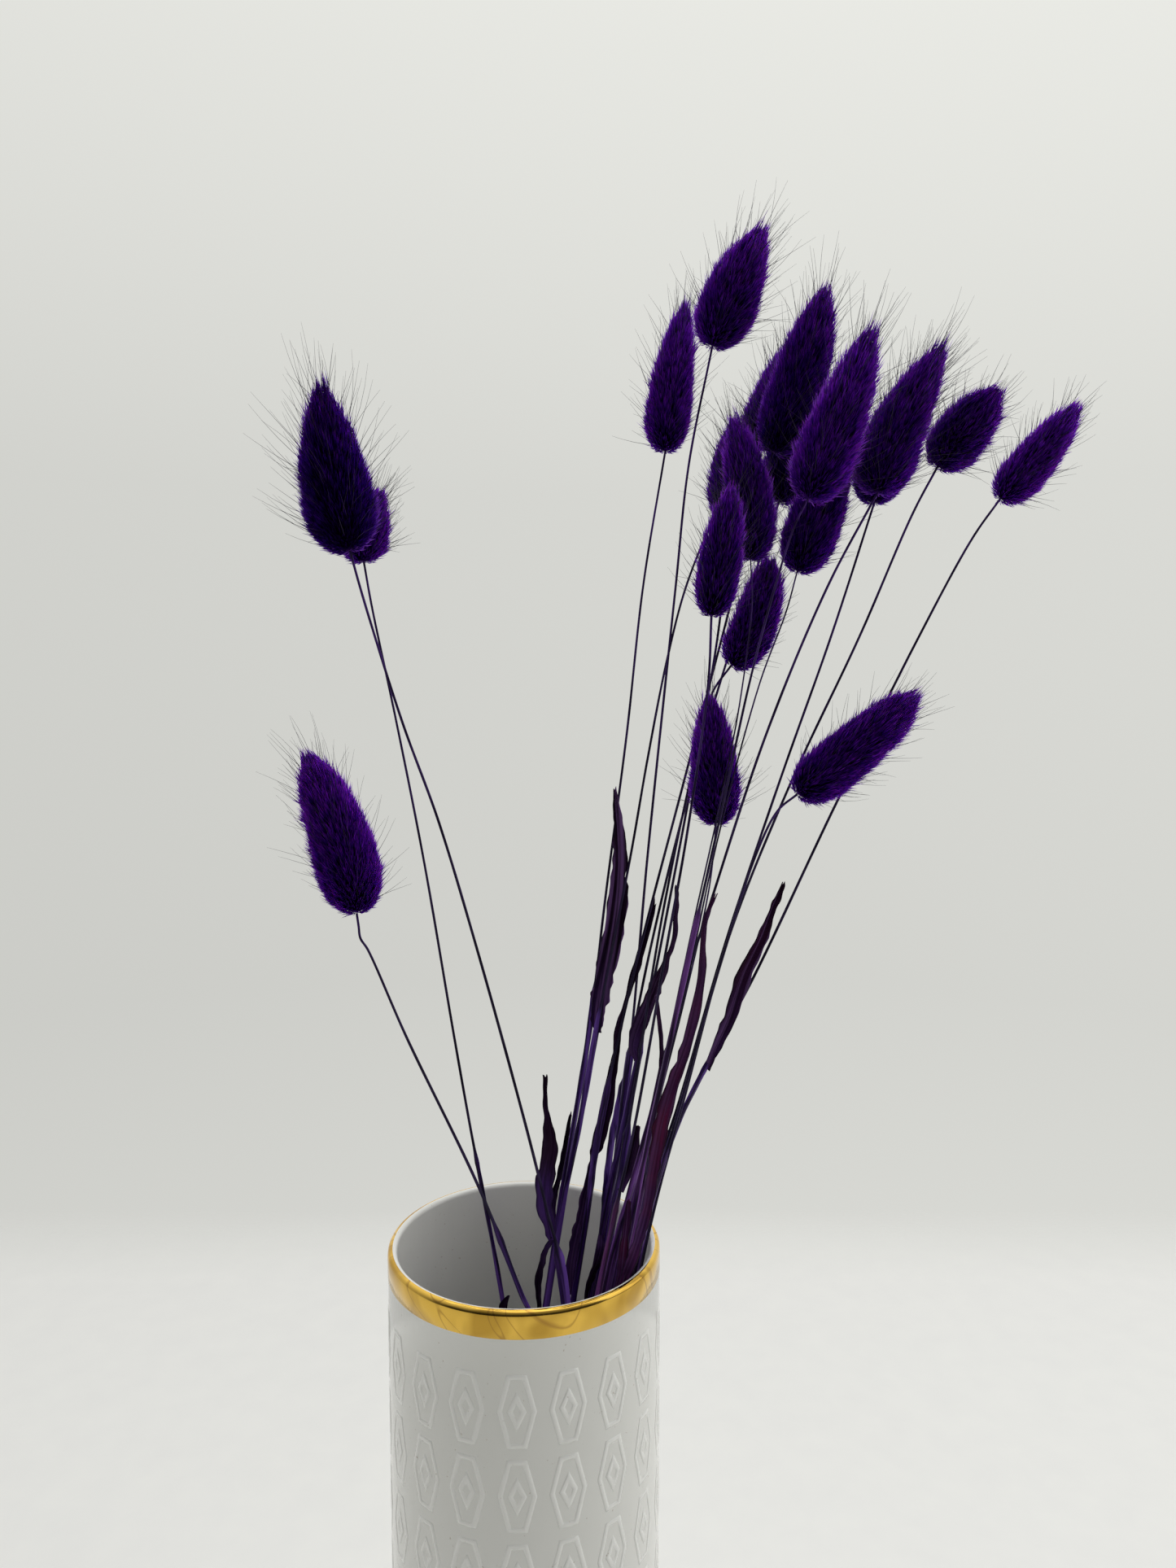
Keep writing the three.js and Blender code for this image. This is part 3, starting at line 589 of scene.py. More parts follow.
def makeLeafMaterial():
    look = leafLook
    material, tree, shader = newMaterial("driedLeaf")
    lines = useGroup(tree, veins, {
        "Strand": reading(tree, "strand", "Vector"),
        "Fineness": look["fineness"],
        "Streaks": look["streaks"],
    })
    plain = drifting(tree, look["plain"], look["plainOther"])
    wine = drifting(tree, look["wine"], look["wineOther"])
    body = blended(tree, reading(tree, "red"), plain, wine)
    body = blended(tree, reading(tree, "young"), body, look["young"])
    rib = product(tree, maths(tree, "POWER", reading(tree, "rib"), look["ribPower"]), look["ribDepth"])
    light = maths(tree, "MAXIMUM", product(tree, lines["Streak"], look["streakDepth"]), rib)
    edge = product(tree, reading(tree, "edge"), look["edgeDepth"])
    dark = maths(tree, "MAXIMUM", product(tree, lines["Vein"], look["veinDepth"]), edge)
    ribbed = blended(tree, dark, body, look["dark"])
    feed(tree, shader, {
        "Base Color": blended(tree, product(tree, light, reading(tree, "pale")), ribbed, look["pale"]),
        "Roughness": spread(tree, lines["Vein"], 0.0, 1.0, *look["roughness"]),
        "Normal": bumped(tree, lines["Vein"], *look["bump"]),
        "Specular IOR Level": look["gloss"],
    })
    return material


glazeLook = {
    "wall": ((0.78, 0.78, 0.735, 1), (0.82, 0.82, 0.785, 1)),
    "relief": ((0.86, 0.86, 0.82, 1), (0.89, 0.89, 0.86, 1)),
    "cloudScale": 28.0, "speck": (0.6, 0.56, 0.5, 1), "speckScale": 900.0, "speckShare": (0.74, 0.8),
    "roughness": (0.12, 0.2), "coat": 0.3, "rippleScale": 120.0, "ripple": (0.15, 0.0004),
}


# White glaze between two tones, with faint clouds, a few specks and a slight ripple.
def makeGlazeMaterial(name, low, high):
    look = glazeLook
    material, tree, shader = newMaterial(name)
    where = add(tree, "TexCoord").outputs["Object"]
    cloud = noise(tree, where, look["cloudScale"], 2.0)
    specks = spread(tree, noise(tree, where, look["speckScale"], 1.0), *look["speckShare"])
    ripple = noise(tree, where, look["rippleScale"], 2.0)
    feed(tree, shader, {
        "Base Color": blended(tree, specks, blended(tree, cloud, low, high), look["speck"]),
        "Roughness": spread(tree, cloud, 0.3, 0.7, *look["roughness"]),
        "Normal": bumped(tree, ripple, *look["ripple"]),
        "Coat Weight": look["coat"],
    })
    return material


giltLook = {
    "gold": (0.79, 0.5, 0.09, 1), "wearAndReflection": (0.52, 0.31, 0.05, 1),
    "wearAndReflectionScale": 75.0, "wearAndReflectionShare": (0.42, 0.62),
    "line": (0.3, 0.15, 0.04, 1), "lineScale": 42.0, "lineWidth": 0.014, "lineDepth": 0.6,
    "rubScale": 160.0, "rubStretch": (1, 1, 9), "roughness": (0.08, 0.16),
    "waveScale": 55.0, "wave": (0.9, 0.0018),
}


# Brushed gilding: darker patches that are partly wear and partly painted dark reflections, a few thin brown
# lines and a wavy surface.
def makeGiltMaterial():
    look = giltLook
    material, tree, shader = newMaterial("giltRim")
    where = add(tree, "TexCoord").outputs["Object"]
    wearAndReflection = noise(tree, where, look["wearAndReflectionScale"], 2.0, {"Distortion": 0.6})
    body = blended(tree, spread(tree, wearAndReflection, *look["wearAndReflectionShare"]), look["gold"], look["wearAndReflection"])
    lines = noise(tree, where, look["lineScale"], 1.0, {"Distortion": 1.6})
    away = maths(tree, "ABSOLUTE", maths(tree, "SUBTRACT", lines, 0.5))
    brown = spread(tree, away, 0.0, look["lineWidth"], look["lineDepth"], 0.0)
    stretched = add(tree, "Mapping", {"Vector": where, "Scale": look["rubStretch"]}).outputs["Vector"]
    rubbed = noise(tree, stretched, look["rubScale"], 5.0, {"Roughness": 0.7})
    feed(tree, shader, {
        "Base Color": blended(tree, brown, body, look["line"]),
        "Roughness": spread(tree, rubbed, 0.35, 0.7, *look["roughness"]),
        "Normal": bumped(tree, noise(tree, where, look["waveScale"], 1.0), *look["wave"]),
        "Metallic": 1.0,
    })
    return material


fur = makeFurMaterial()
awnSkin = makeAwnMaterial()
stemSkin = makeStemMaterial()
leafSkin = makeLeafMaterial()
glaze = makeGlazeMaterial("whiteGlaze", *glazeLook["wall"])
# The raised outlines are a paler glaze: partly glaze thinning over the ridges, partly a painted highlight on
# them.
paleGlazeAndHighlight = makeGlazeMaterial("paleGlazeAndHighlight", *glazeLook["relief"])
gilt = makeGiltMaterial()
print("materials made")


# Millimetres, with the foot at zero. bandEnd is how far below the lip the gilt step stops.
vaseShape = {
    "height": 196, "radius": 37, "wall": 2.6, "floor": 5, "chamfer": 1.5, "corner": 1.5,
    "band": 7, "bandStep": 0.05, "bandEnd": 0.6,
    "wallSteps": 11, "insideSteps": 7, "arcSteps": 4, "lipSteps": 8, "around": 144,
}


# Points on an arc of the outline, from one angle to another.
def arc(x, z, radius, start, end, steps):
    angles = np.radians(np.linspace(start, end, steps + 1))
    return [(x + radius * math.cos(angle), z + radius * math.sin(angle)) for angle in angles]


# The vase's outline from the middle of its foot, up the outside, over the lip and down inside.
def vaseOutline():
    v = vaseShape
    radius, chamfer, corner, lip = v["radius"], v["chamfer"], v["corner"], v["wall"] / 2
    inner = radius - v["wall"]
    band = radius + v["bandStep"]
    bandFoot = v["height"] - v["band"]
    lipFoot = v["height"] - lip
    cornerTop = v["floor"] + corner
    points = [(0, 0)]
    points += arc(radius - chamfer, chamfer, chamfer, -90, 0, v["arcSteps"])
    points += [(radius, z) for z in np.linspace(chamfer, bandFoot, v["wallSteps"] + 1)[1:]]
    points += [(band, bandFoot + v["bandStep"]), (band, lipFoot - v["bandEnd"])]
    points += arc(radius - lip, lipFoot, lip, 0, 180, v["lipSteps"])
    points += [(inner, z) for z in np.linspace(lipFoot, cornerTop, v["insideSteps"] + 1)[1:]]
    points += arc(inner - corner, cornerTop, corner, 0, -90, v["arcSteps"])[1:]
    points += [(0, v["floor"])]
    return points


def makeVase():
    v = vaseShape
    bm = bmesh.new()
    verts = [bm.verts.new((x * mm, 0, z * mm)) for x, z in vaseOutline()]
    edges = [bm.edges.new(pair) for pair in zip(verts, verts[1:])]
    bmesh.ops.spin(bm, geom=verts + edges, cent=(0, 0, 0), axis=(0, 0, 1), angle=2 * math.pi,
                   steps=v["around"], use_merge=True, use_duplicate=False)
    bmesh.ops.remove_doubles(bm, verts=bm.verts, dist=0.001 * mm)
    bmesh.ops.recalc_face_normals(bm, faces=bm.faces)
    bandFoot = (v["height"] - v["band"]) * mm
    crest = (v["radius"] - v["wall"] / 2) * mm
    for face in bm.faces:
        middle = face.calc_center_median()
        if middle.z > bandFoot and math.hypot(middle.x, middle.y) > crest:
            face.material_index = 1
    return addPiece(newMesh(bm, "vaseBody"), [glaze, gilt], "vase")


# A hexagon with a lozenge in it, in straight rows over the whole outside.
reliefShape = {
    "columns": 18, "rowStep": 22, "lowestRow": 16.5, "rows": 8, "wide": 10, "tall": 19,
    "innerWide": 5, "innerTall": 10.5, "line": 1.4, "rise": 0.14, "sunk": 0.15, "slope": 0.5,
    "longSide": 2.5, "cuts": 3,
}


# One raised outline: a flat ring with the given number of corners, pushed up and given sloping sides.
def raisedRing(bm, corners, wide, tall, turn):
    s = reliefShape
    made = bmesh.ops.create_circle(bm, cap_ends=True, segments=corners, radius=0.5,
                                   matrix=Matrix.Rotation(turn, 4, "Z"))["verts"]
    spanX = max(v.co.x for v in made) * 2
    spanY = max(v.co.y for v in made) * 2
    bmesh.ops.scale(bm, verts=made, vec=(wide / spanX, tall / spanY, 1))
    face = made[0].link_faces[0]
    ring = bmesh.ops.inset_region(bm, faces=[face], thickness=s["line"], use_even_offset=True,
                                  use_boundary=True)["faces"]
    bmesh.ops.delete(bm, geom=[face], context="FACES_ONLY")
    top = bmesh.ops.extrude_face_region(bm, geom=ring)["geom"]
    raised = [v for v in top if isinstance(v, bmesh.types.BMVert)]
    bmesh.ops.translate(bm, verts=raised, vec=(0, 0, s["sunk"]))
    crest = [f for f in top if isinstance(f, bmesh.types.BMFace)]
    bmesh.ops.inset_region(bm, faces=crest, thickness=s["slope"], depth=s["rise"], use_even_offset=True)


def everything(bm):
    return list(bm.verts) + list(bm.edges) + list(bm.faces)


def makeRelief():
    s = reliefShape
    radius = vaseShape["radius"]
    bm = bmesh.new()
    raisedRing(bm, 6, s["wide"], s["tall"], math.pi / 2)
    raisedRing(bm, 4, s["innerWide"], s["innerTall"], 0)
    long = [e for e in bm.edges if e.calc_length() > s["longSide"]]
    bmesh.ops.subdivide_edges(bm, edges=long, cuts=s["cuts"], use_grid_fill=True)
    bmesh.ops.recalc_face_normals(bm, faces=bm.faces)
    # The flat motif is laid on the round wall.
    for vert in bm.verts:
        angle = vert.co.x / radius
        reach = radius - s["sunk"] + vert.co.z
        spot = (reach * math.sin(angle), -reach * math.cos(angle), vert.co.y + s["lowestRow"])
        vert.co = Vector(spot) * mm
    motif = everything(bm)
    for row in range(1, s["rows"]):
        bmesh.ops.translate(bm, verts=copied(bm, motif), vec=(0, 0, row * s["rowStep"] * mm))
    column = everything(bm)
    for turn in range(1, s["columns"]):
        spin = Matrix.Rotation(2 * math.pi * turn / s["columns"], 3, "Z")
        bmesh.ops.rotate(bm, verts=copied(bm, column), cent=(0, 0, 0), matrix=spin)
    return addPiece(newMesh(bm, "vaseRelief"), [paleGlazeAndHighlight], "vase")


makeVase()
makeRelief()
print("vase made")


# Moves points whose heights are given above the rim to their places.
def aboveRim(points):
    return np.array(points, float)[:, :3] + (0, 0, vaseShape["height"])


# Every strand and tube is made upright and one unit tall, and then laid in its place.
strandRadius = 0.4


# A row of upright strands, a unit apart along X, from the one that the mesh holds at that level of Y.
def rowOf(bm, count, level):
    ready = 1
    while ready < count:
        more = min(ready, count - ready)
        part = [v for v in bm.verts if abs(v.co.y - level) < 1 and -0.5 < v.co.x < more - 0.5]
        edges = dict.fromkeys(e for v in part for e in v.link_edges)
        faces = dict.fromkeys(f for v in part for f in v.link_faces)
        moved = copied(bm, part + list(edges) + list(faces))
        bmesh.ops.translate(bm, verts=moved, vec=(ready, 0, 0))
        ready += more


# A closed upright tube, one unit tall, cut into rings.
def addTube(bm, sides, rings, level=0):
    lift = Matrix.Translation((0, level, 0.5))
    made = bmesh.ops.create_cone(bm, cap_ends=True, cap_tris=True, segments=sides, radius1=strandRadius,
                                 radius2=strandRadius, depth=1, matrix=lift)["verts"]
    sideEdges = dict.fromkeys(e for v in made for e in v.link_edges)
    upright = [e for e in sideEdges if abs(e.verts[0].co.z - e.verts[1].co.z) > 0.5]
    bmesh.ops.subdivide_edges(bm, edges=upright, cuts=rings - 1)


stemShape = {
    "sides": 10, "step": 3.0, "footGap": 0.6, "neck": 0.3, "knee": 0.4, "intoHead": 2.5,
    "blend": 5, "collar": 0.14, "collarWidth": 1.2, "wobble": 0.03, "sheathWobble": 0.06,
    "wide": 1.08, "deep": 0.72, "groove": 0.3, "grooveAt": 0.9, "grooveWidth": 0.22, "twist": 0.7,
    "wobbleRates": (0.21, 0.057), "twistRate": 0.03, "plainRed": 0.05, "veinStretch": 0.03,
}

# The stalks whose sheaths have turned wine red, and how far.
redSheaths = {7: 0.6, 8: 0.35, 11: 0.5, 14: 0.7, 15: 1.0, 17: 0.4, 18: 0.3}


def stemRoute(stalk):
    foot = [[*stalk["foot"], vaseShape["floor"] + stemShape["footGap"]]]
    return np.vstack([foot, aboveRim([*stalk["route"], stalk["neck"]])])


# The stem's radius at some heights, and how much the sheath covers it there.
def stemRadius(stalk, height):
    s = stemShape
    top, sheathRadius = stalk["sheath"]
    neck = stalk["neck"][2]
    culm = mix(s["neck"], s["knee"], (neck - height) / (neck - top)) * stalk.get("fine", 1)
    covered = smooth((top - height) / s["blend"])
    collar = 1 + s["collar"] * np.exp(-(((height - top + s["blend"]) / s["collarWidth"]) ** 2))
    return mix(culm, sheathRadius * stalk.get("slim", 1), covered) * collar, covered


def makeStem(number, stalk):
    s = stemShape
    route = stemRoute(stalk)
    length = lengthOf(route)
    bm = bmesh.new()
    addTube(bm, s["sides"], int(length / s["step"]))
    bmesh.ops.recalc_face_normals(bm, faces=bm.faces)
    mesh = newMesh(bm, f"stem_{number:02d}_culm")
    points = pointsOf(mesh)
    across = points[:, :2] / strandRadius
    shares = points[:, 2] * (1 + s["intoHead"] / length)
    origin, _, side, out = framesOn(partial(alongRoute, route), shares)
    radius, covered = stemRadius(stalk, origin[:, 2] - vaseShape["height"])
    run = shares * length
    wobble = s["wobble"] + s["sheathWobble"] * covered
    quick, slow = s["wobbleRates"]
    radius *= 1 + wobble * np.sin(run * quick + number) * np.sin(run * slow + 2 * number)
    # A sheath is a flat ribbon with a groove where its edges meet, and it turns slowly as it climbs.
    turn = s["twist"] * np.sin(run * s["twistRate"] + number)
    angle = np.arctan2(across[:, 1], across[:, 0]) - turn
    radius *= np.hypot(across[:, 0], across[:, 1])
    edge = np.sin(angle / 2 + s["grooveAt"]) / s["grooveWidth"]
    radius *= 1 - s["groove"] * covered * np.exp(-(edge**2))
    wide = radius * mix(1, s["wide"], covered) * np.cos(angle)
    deep = radius * mix(1, s["deep"], covered) * np.sin(angle)
    sideways = wide * np.cos(turn) - deep * np.sin(turn)
    outward = wide * np.sin(turn) + deep * np.cos(turn)
    place(mesh, origin + side * sideways[:, None] - out * outward[:, None])
    strand = np.column_stack([wide * mm, deep * mm, run * s["veinStretch"] * mm + number])
    keep(mesh, "strand", strand, "FLOAT_VECTOR")
    keep(mesh, "sheath", covered)
    keep(mesh, "climb", shares)
    keep(mesh, "red", np.full(len(shares), redSheaths.get(number, s["plainRed"])))
    return addPiece(mesh, [stemSkin], f"stem_{number:02d}")


for number, stalk in enumerate(stalks, 1):
    makeStem(number, stalk)
print("stems made")


leafShape = {
    "across": 6, "along": 110, "thick": 0.22, "fold": 0.5, "wave": 0.35, "waves": 2.5, "curl": 0.5,
    "crinkle": 0.22, "crinkleRates": (1.1, 0.37), "notch": 2.1, "ragged": 0.12, "tear": 0.03, "seed": 200,
    "young": 0.35, "youngAll": 0.15, "youngFade": 0.35, "veinStretch": 0.03,
}


def makeLeaf(number, leaf):
    s = leafShape
    bm = bmesh.new()
    bmesh.ops.create_grid(bm, x_segments=s["across"], y_segments=s["along"], size=0.5)
    mesh = newMesh(bm, f"leaf_{number:02d}")
    points = pointsOf(mesh)
    x, share = points[:, 0], points[:, 1] + 0.5
    rng = np.random.default_rng(s["seed"] + number)
    # The tip is torn a little unevenly, and both edges are ragged.
    tears = s["across"] + 1
    torn = np.interp(x, np.linspace(-0.5, 0.5, tears), rng.uniform(0, 1, tears))
    share = share - s["tear"] * torn * smooth((share - 0.9) / 0.1)
    blade = np.array(leaf["blade"], float)
    route = aboveRim(blade)
    length = lengthOf(route)
    run = share * length
    knots = np.arange(0, length + s["notch"], s["notch"])
    left, right = (np.interp(run, knots, rng.normal(0, s["ragged"], len(knots))) for _ in range(2))
    spot = share * (len(blade) - 1)
    first = np.minimum(spot.astype(int), len(blade) - 2)
    width = mix(blade[first, 3], blade[first + 1, 3], smooth(spot - first))
    across = x * width * (1 + np.where(x < 0, left, right))
    quick, slow = s["crinkleRates"]
    crinkle = s["crinkle"] * np.sin(run * quick + number) * np.sin(run * slow + 2 * number)
    depth = np.abs(across) * s["fold"] + x * s["wave"] * np.sin(share * s["waves"] * 2 * np.pi)
    depth += s["curl"] * (4 * x * x - 0.4) * smooth(share) + crinkle * 4 * x * x
    turn = np.radians(mix(leaf["face"][0], leaf["face"][1], share))
    sideways = across * np.cos(turn) - depth * np.sin(turn)
    outward = across * np.sin(turn) + depth * np.cos(turn)
    origin, _, side, out = framesOn(partial(alongRoute, route), share)
    place(mesh, origin + side * sideways[:, None] + out * outward[:, None])
    strand = np.column_stack([across * mm, np.full(len(x), number), run * s["veinStretch"] * mm])
    keep(mesh, "strand", strand, "FLOAT_VECTOR")
    keep(mesh, "red", np.full(len(x), leaf["red"]))
    keep(mesh, "pale", np.full(len(x), leaf["pale"]))
    keep(mesh, "rib", np.maximum(1 - np.abs(x) * 6, 0))
    keep(mesh, "edge", smooth((np.abs(x) * 2 - 0.5) / 0.5))
    young = leaf.get("young", s["young"])
    keep(mesh, "young", young * (1 - smooth((share - s["youngAll"]) / s["youngFade"])))
    piece = addPiece(mesh, [leafSkin], f"stem_{leaf['stalk']:02d}")
    thick = piece.modifiers.new("thickness", "SOLIDIFY")
    thick.thickness = s["thick"] * mm
    thick.offset = 0
    return piece


for number, leaf in enumerate(leaves, 1):
    makeLeaf(number, leaf)
print("leaves made")


# The shape of every head: its middle, then its hairs, how they lie in tufts, their tones with some painted
# light, and its awns.
headShape = {
    "core": 0.8, "gap": 0.3, "elbow": 0.35, "taper": 0.6, "end": 0.965, "ballAround": 32, "ballAlong": 28,
    "hairsPerArea": 4.1, "hairSteps": 1000, "hairSides": 3, "hairRadius": 0.12, "arch": 0.25, "flare": 0.35,
    "comb": 3.6, "combSpread": (0.6, 1.25), "baseComb": 0.25, "leastComb": 0.02, "rootDepth": 0.97,
    "stray": 0.1, "tipStray": 0.06, "scatter": 0.14,
    "tuft": 2.0, "gather": 0.55, "tipGather": 0.75, "tuftReach": 0.02, "endSpread": 0.06,
    "tuftSwell": 0.04, "brush": 0.38, "brushMost": 1.8, "brushSpread": (0.1, 1.2),
    "lift": 0.15, "tuftRise": 0.15, "ruffle": 0.28, "wild": 0.12, "wildLift": (0.3, 1.1),
    "liftAlong": (0.9, 1.5), "highest": 2.4,
    "tuftTone": 0.22, "hairTone": (-0.1, 0.36), "paintedWildRim": 0.7, "paintedTipLight": (0.9, 2.5),
    "toneLimits": (0.2, 5),
    "awns": 240, "awnSides": 3, "awnRings": 4, "awnRadius": 0.08, "awnPoint": 0.25, "lowestAwn": 0.03,
    "crowding": 0.85, "awnStray": 0.2, "awnScatter": 0.08, "leanBelow": 75, "leanAbove": 14, "leanSpread": 9,
    "shortAwns": 0.38, "shortSize": (0.2, 0.45), "longSize": (0.5, 1.1), "depthCut": 0.25,
    "awnBend": (0.15, 0.09), "awnRise": 0.13, "awnSeed": 100,
}

# Before they are combed, the hairs stand in a row at Y = 0, and the awns and the middle beside them.
awnLevel = 10
ballLevel = 20


def headRadius(head, share):
    widest = head["widest"]
    below = np.sqrt(np.maximum(0, 1 - (1 - np.minimum(share, widest) / widest) ** 2))
    above = np.maximum(0, 1 - (np.maximum(share - widest, 0) / (1 - widest)) ** 2)
    return head["wide"] / 2 * np.where(share < widest, below, above ** (head["point"] * headShape["taper"]))


# The middle, the hairs and the awns of a head before they are combed: each vertex's place tells what it is.
def uncombedHead(hairs):
    s = headShape
    bm = bmesh.new()
    lift = Matrix.Translation((0, 0, 0.5)) @ Matrix.Diagonal((2 * strandRadius, 2 * strandRadius, 1, 1))
    bmesh.ops.create_uvsphere(bm, u_segments=s["hairSides"], v_segments=2, radius=0.5, matrix=lift)
    rowOf(bm, hairs, 0)
    hairFaces = len(bm.faces)
    addTube(bm, s["awnSides"], s["awnRings"], awnLevel)
    rowOf(bm, s["awns"], awnLevel)
    bm.faces.ensure_lookup_table()
    for face in bm.faces[hairFaces:]:
        face.material_index = 1
    bmesh.ops.create_uvsphere(bm, u_segments=s["ballAround"], v_segments=s["ballAlong"], radius=1,
                              matrix=Matrix.Translation((0, ballLevel, 0)))
    return newMesh(bm, "uncombedHead")


# The head's surface: points, the normals that its fur is shaded by, the way out and the way along.
def onHead(head, curve, length, share, angle, scale, least=0.0):
    origin, along, side, out = framesOn(curve, share * headShape["end"])
    ray = side * np.cos(angle)[:, None] + out * np.sin(angle)[:, None]
    nudge = 0.004
    inside = np.clip(share, nudge, 1 - nudge)
    slope = (headRadius(head, inside + nudge) - headRadius(head, inside - nudge)) / (2 * nudge)
    normal = unit(ray * length - along * slope[:, None])
    reach = np.maximum(headRadius(head, np.clip(share, 0, 1)), least) * scale
    return origin + ray * reach[:, None], normal, ray, along


# The area of a head from its base up to each of some shares of its length.
def headArea(head, length, table):
    radius = headRadius(head, table)
    return np.cumsum(2 * math.pi * radius * np.hypot(np.gradient(radius), length / (len(table) - 1)))


# Where each hair starts and ends, the normal that it is shaded by, and its tone, which carries painted light
# on wild hairs and towards the tip.
def combHair(number, head, curve, length, count):
    s = headShape
    rng = np.random.default_rng(number)
    table = np.linspace(0, 1, 400)
    area = headArea(head, length, table)
    order = np.arange(count)
    share = np.interp((order + rng.random(count)) / count, area / area[-1], table)
    angle = order * goldenAngle + rng.normal(0, s["stray"], count)
    # Neighbours are drawn together in small tufts, staggered like bricks.
    columns = max(6, round(math.pi * head["wide"] / s["tuft"]))
    rows = int(length / s["tuft"]) + 4
    row = (share * length / s["tuft"]).astype(int)
    turns = angle / (2 * math.pi) * columns + 0.5 * (row % 2)
    column = np.floor(turns).astype(int)
    toMiddle = (column + 0.5 - turns) * 2 * math.pi / columns
    tuftLift = rng.normal(0, 1, (rows, columns))[row, column % columns]
    tuftTone = rng.normal(0, 1, (rows, columns))[row, column % columns]
    # Each hair runs towards the head's tip, less so at the base, and none ends far past it.
    reach = s["comb"] * rng.uniform(*s["combSpread"], count) * mix(s["baseComb"], 1, smooth(share / 0.2))
    farthest = 1 + s["tuftReach"] * tuftLift + rng.uniform(-s["endSpread"], s["endSpread"], count)
    tipShare = np.minimum(share + reach / length, np.maximum(farthest, share + s["leastComb"]))
    gather = mix(s["gather"], s["tipGather"], smooth((share - 0.7) / 0.3))
    tipAngle = angle + toMiddle * gather + rng.normal(0, s["tipStray"], count)
    tipScale = 1 + s["tuftSwell"] * tuftLift * smooth(share / 0.3)
    least = np.minimum(headRadius(head, share) * s["brush"], s["brushMost"])
    least = least * rng.uniform(*s["brushSpread"], count)
    rootScale = np.full(count, s["core"] * s["rootDepth"])
    root, rootNormal, _, _ = onHead(head, curve, length, share, angle, rootScale)
    tip, tipNormal, _, _ = onHead(head, curve, length, tipShare, tipAngle, tipScale, least)
    # Some hairs stand up wildly, and their lighter tone is a painted rim light.
    wild = rng.random(count) < s["wild"]
    lift = s["lift"] + s["tuftRise"] * np.maximum(tuftLift, -0.5) + rng.exponential(s["ruffle"], count)
    lift += wild * rng.uniform(*s["wildLift"], count)
    lift *= mix(*s["liftAlong"], smooth((share - 0.5) / 0.5))
    tip = tip + tipNormal * np.minimum(lift, s["highest"])[:, None] + rng.normal(0, s["scatter"], (count, 3))
    toneAndPaintedLight = np.exp(s["tuftTone"] * tuftTone + rng.normal(*s["hairTone"], count)) * (1 + s["paintedWildRim"] * wild)
    # The upper half of each head is painted lighter towards its tip, a painted highlight.
    toneAndPaintedLight *= mix(*s["paintedTipLight"], smooth((share - 0.45) / 0.55))
    return root, tip, unit(rootNormal + tipNormal), np.clip(toneAndPaintedLight, *s["toneLimits"])


# Where each awn starts, which way it points, how it bends and how long it is.
def combAwns(number, head, curve, length):
    s = headShape
    rng = np.random.default_rng(s["awnSeed"] + number)
    count = s["awns"]
    order = np.arange(count)
    share = mix(s["lowestAwn"], 1.0, ((order + rng.random(count)) / count) ** s["crowding"])
    angle = order * goldenAngle + rng.normal(0, s["awnStray"], count)
    lean = np.radians(mix(s["leanBelow"], s["leanAbove"], share) + rng.normal(0, s["leanSpread"], count))
    root, _, ray, along = onHead(head, curve, length, share, angle, np.full(count, s["core"]))
    scatter = rng.normal(0, s["awnScatter"], (count, 3))
    way = unit(ray * np.sin(lean)[:, None] + along * np.cos(lean)[:, None] + scatter)
    short = rng.random(count) < s["shortAwns"]
    size = np.where(short, rng.uniform(*s["shortSize"], count), rng.uniform(*s["longSize"], count))
    # Awns that point forward or back are a little shorter.
    size = head["awn"] * size * (1 - s["depthCut"] * way[:, 1] ** 2)
    bend = unit(np.cross(way, rng.normal(0, 1, (count, 3)))) * rng.normal(*s["awnBend"], count)[:, None]
    return root, way, bend + along * s["awnRise"], size


# A head's middle line leaves the neck the way the stem points and bends over to the tip.
def headCurve(stalk):
    stem = stemRoute(stalk)
    nearEnd = np.array([0.9999])
    along = framesOn(partial(alongRoute, stem), nearEnd)[1][0]
    start = stem[-1] + along * headShape["gap"]
    end = aboveRim([stalk["head"]["tip"]])[0]
    elbow = start + along * np.linalg.norm(end - start) * headShape["elbow"]
    elbow[0] += stalk["head"]["bow"]
    return partial(alongBend, start, elbow, end)


# For each vertex of a row: which strand it is on, how far up, and which way it lies from the middle.
def strandParts(points, level, way, beside):
    which = np.round(points[:, 0]).astype(int)
    across = np.column_stack([points[:, 0] - which, points[:, 1] - level]) / strandRadius
    first = unit(np.cross(beside, way))
    second = np.cross(way, first)
    return which, points[:, 2:], first[which] * across[:, :1] + second[which] * across[:, 1:]


uncombedHeads = {}


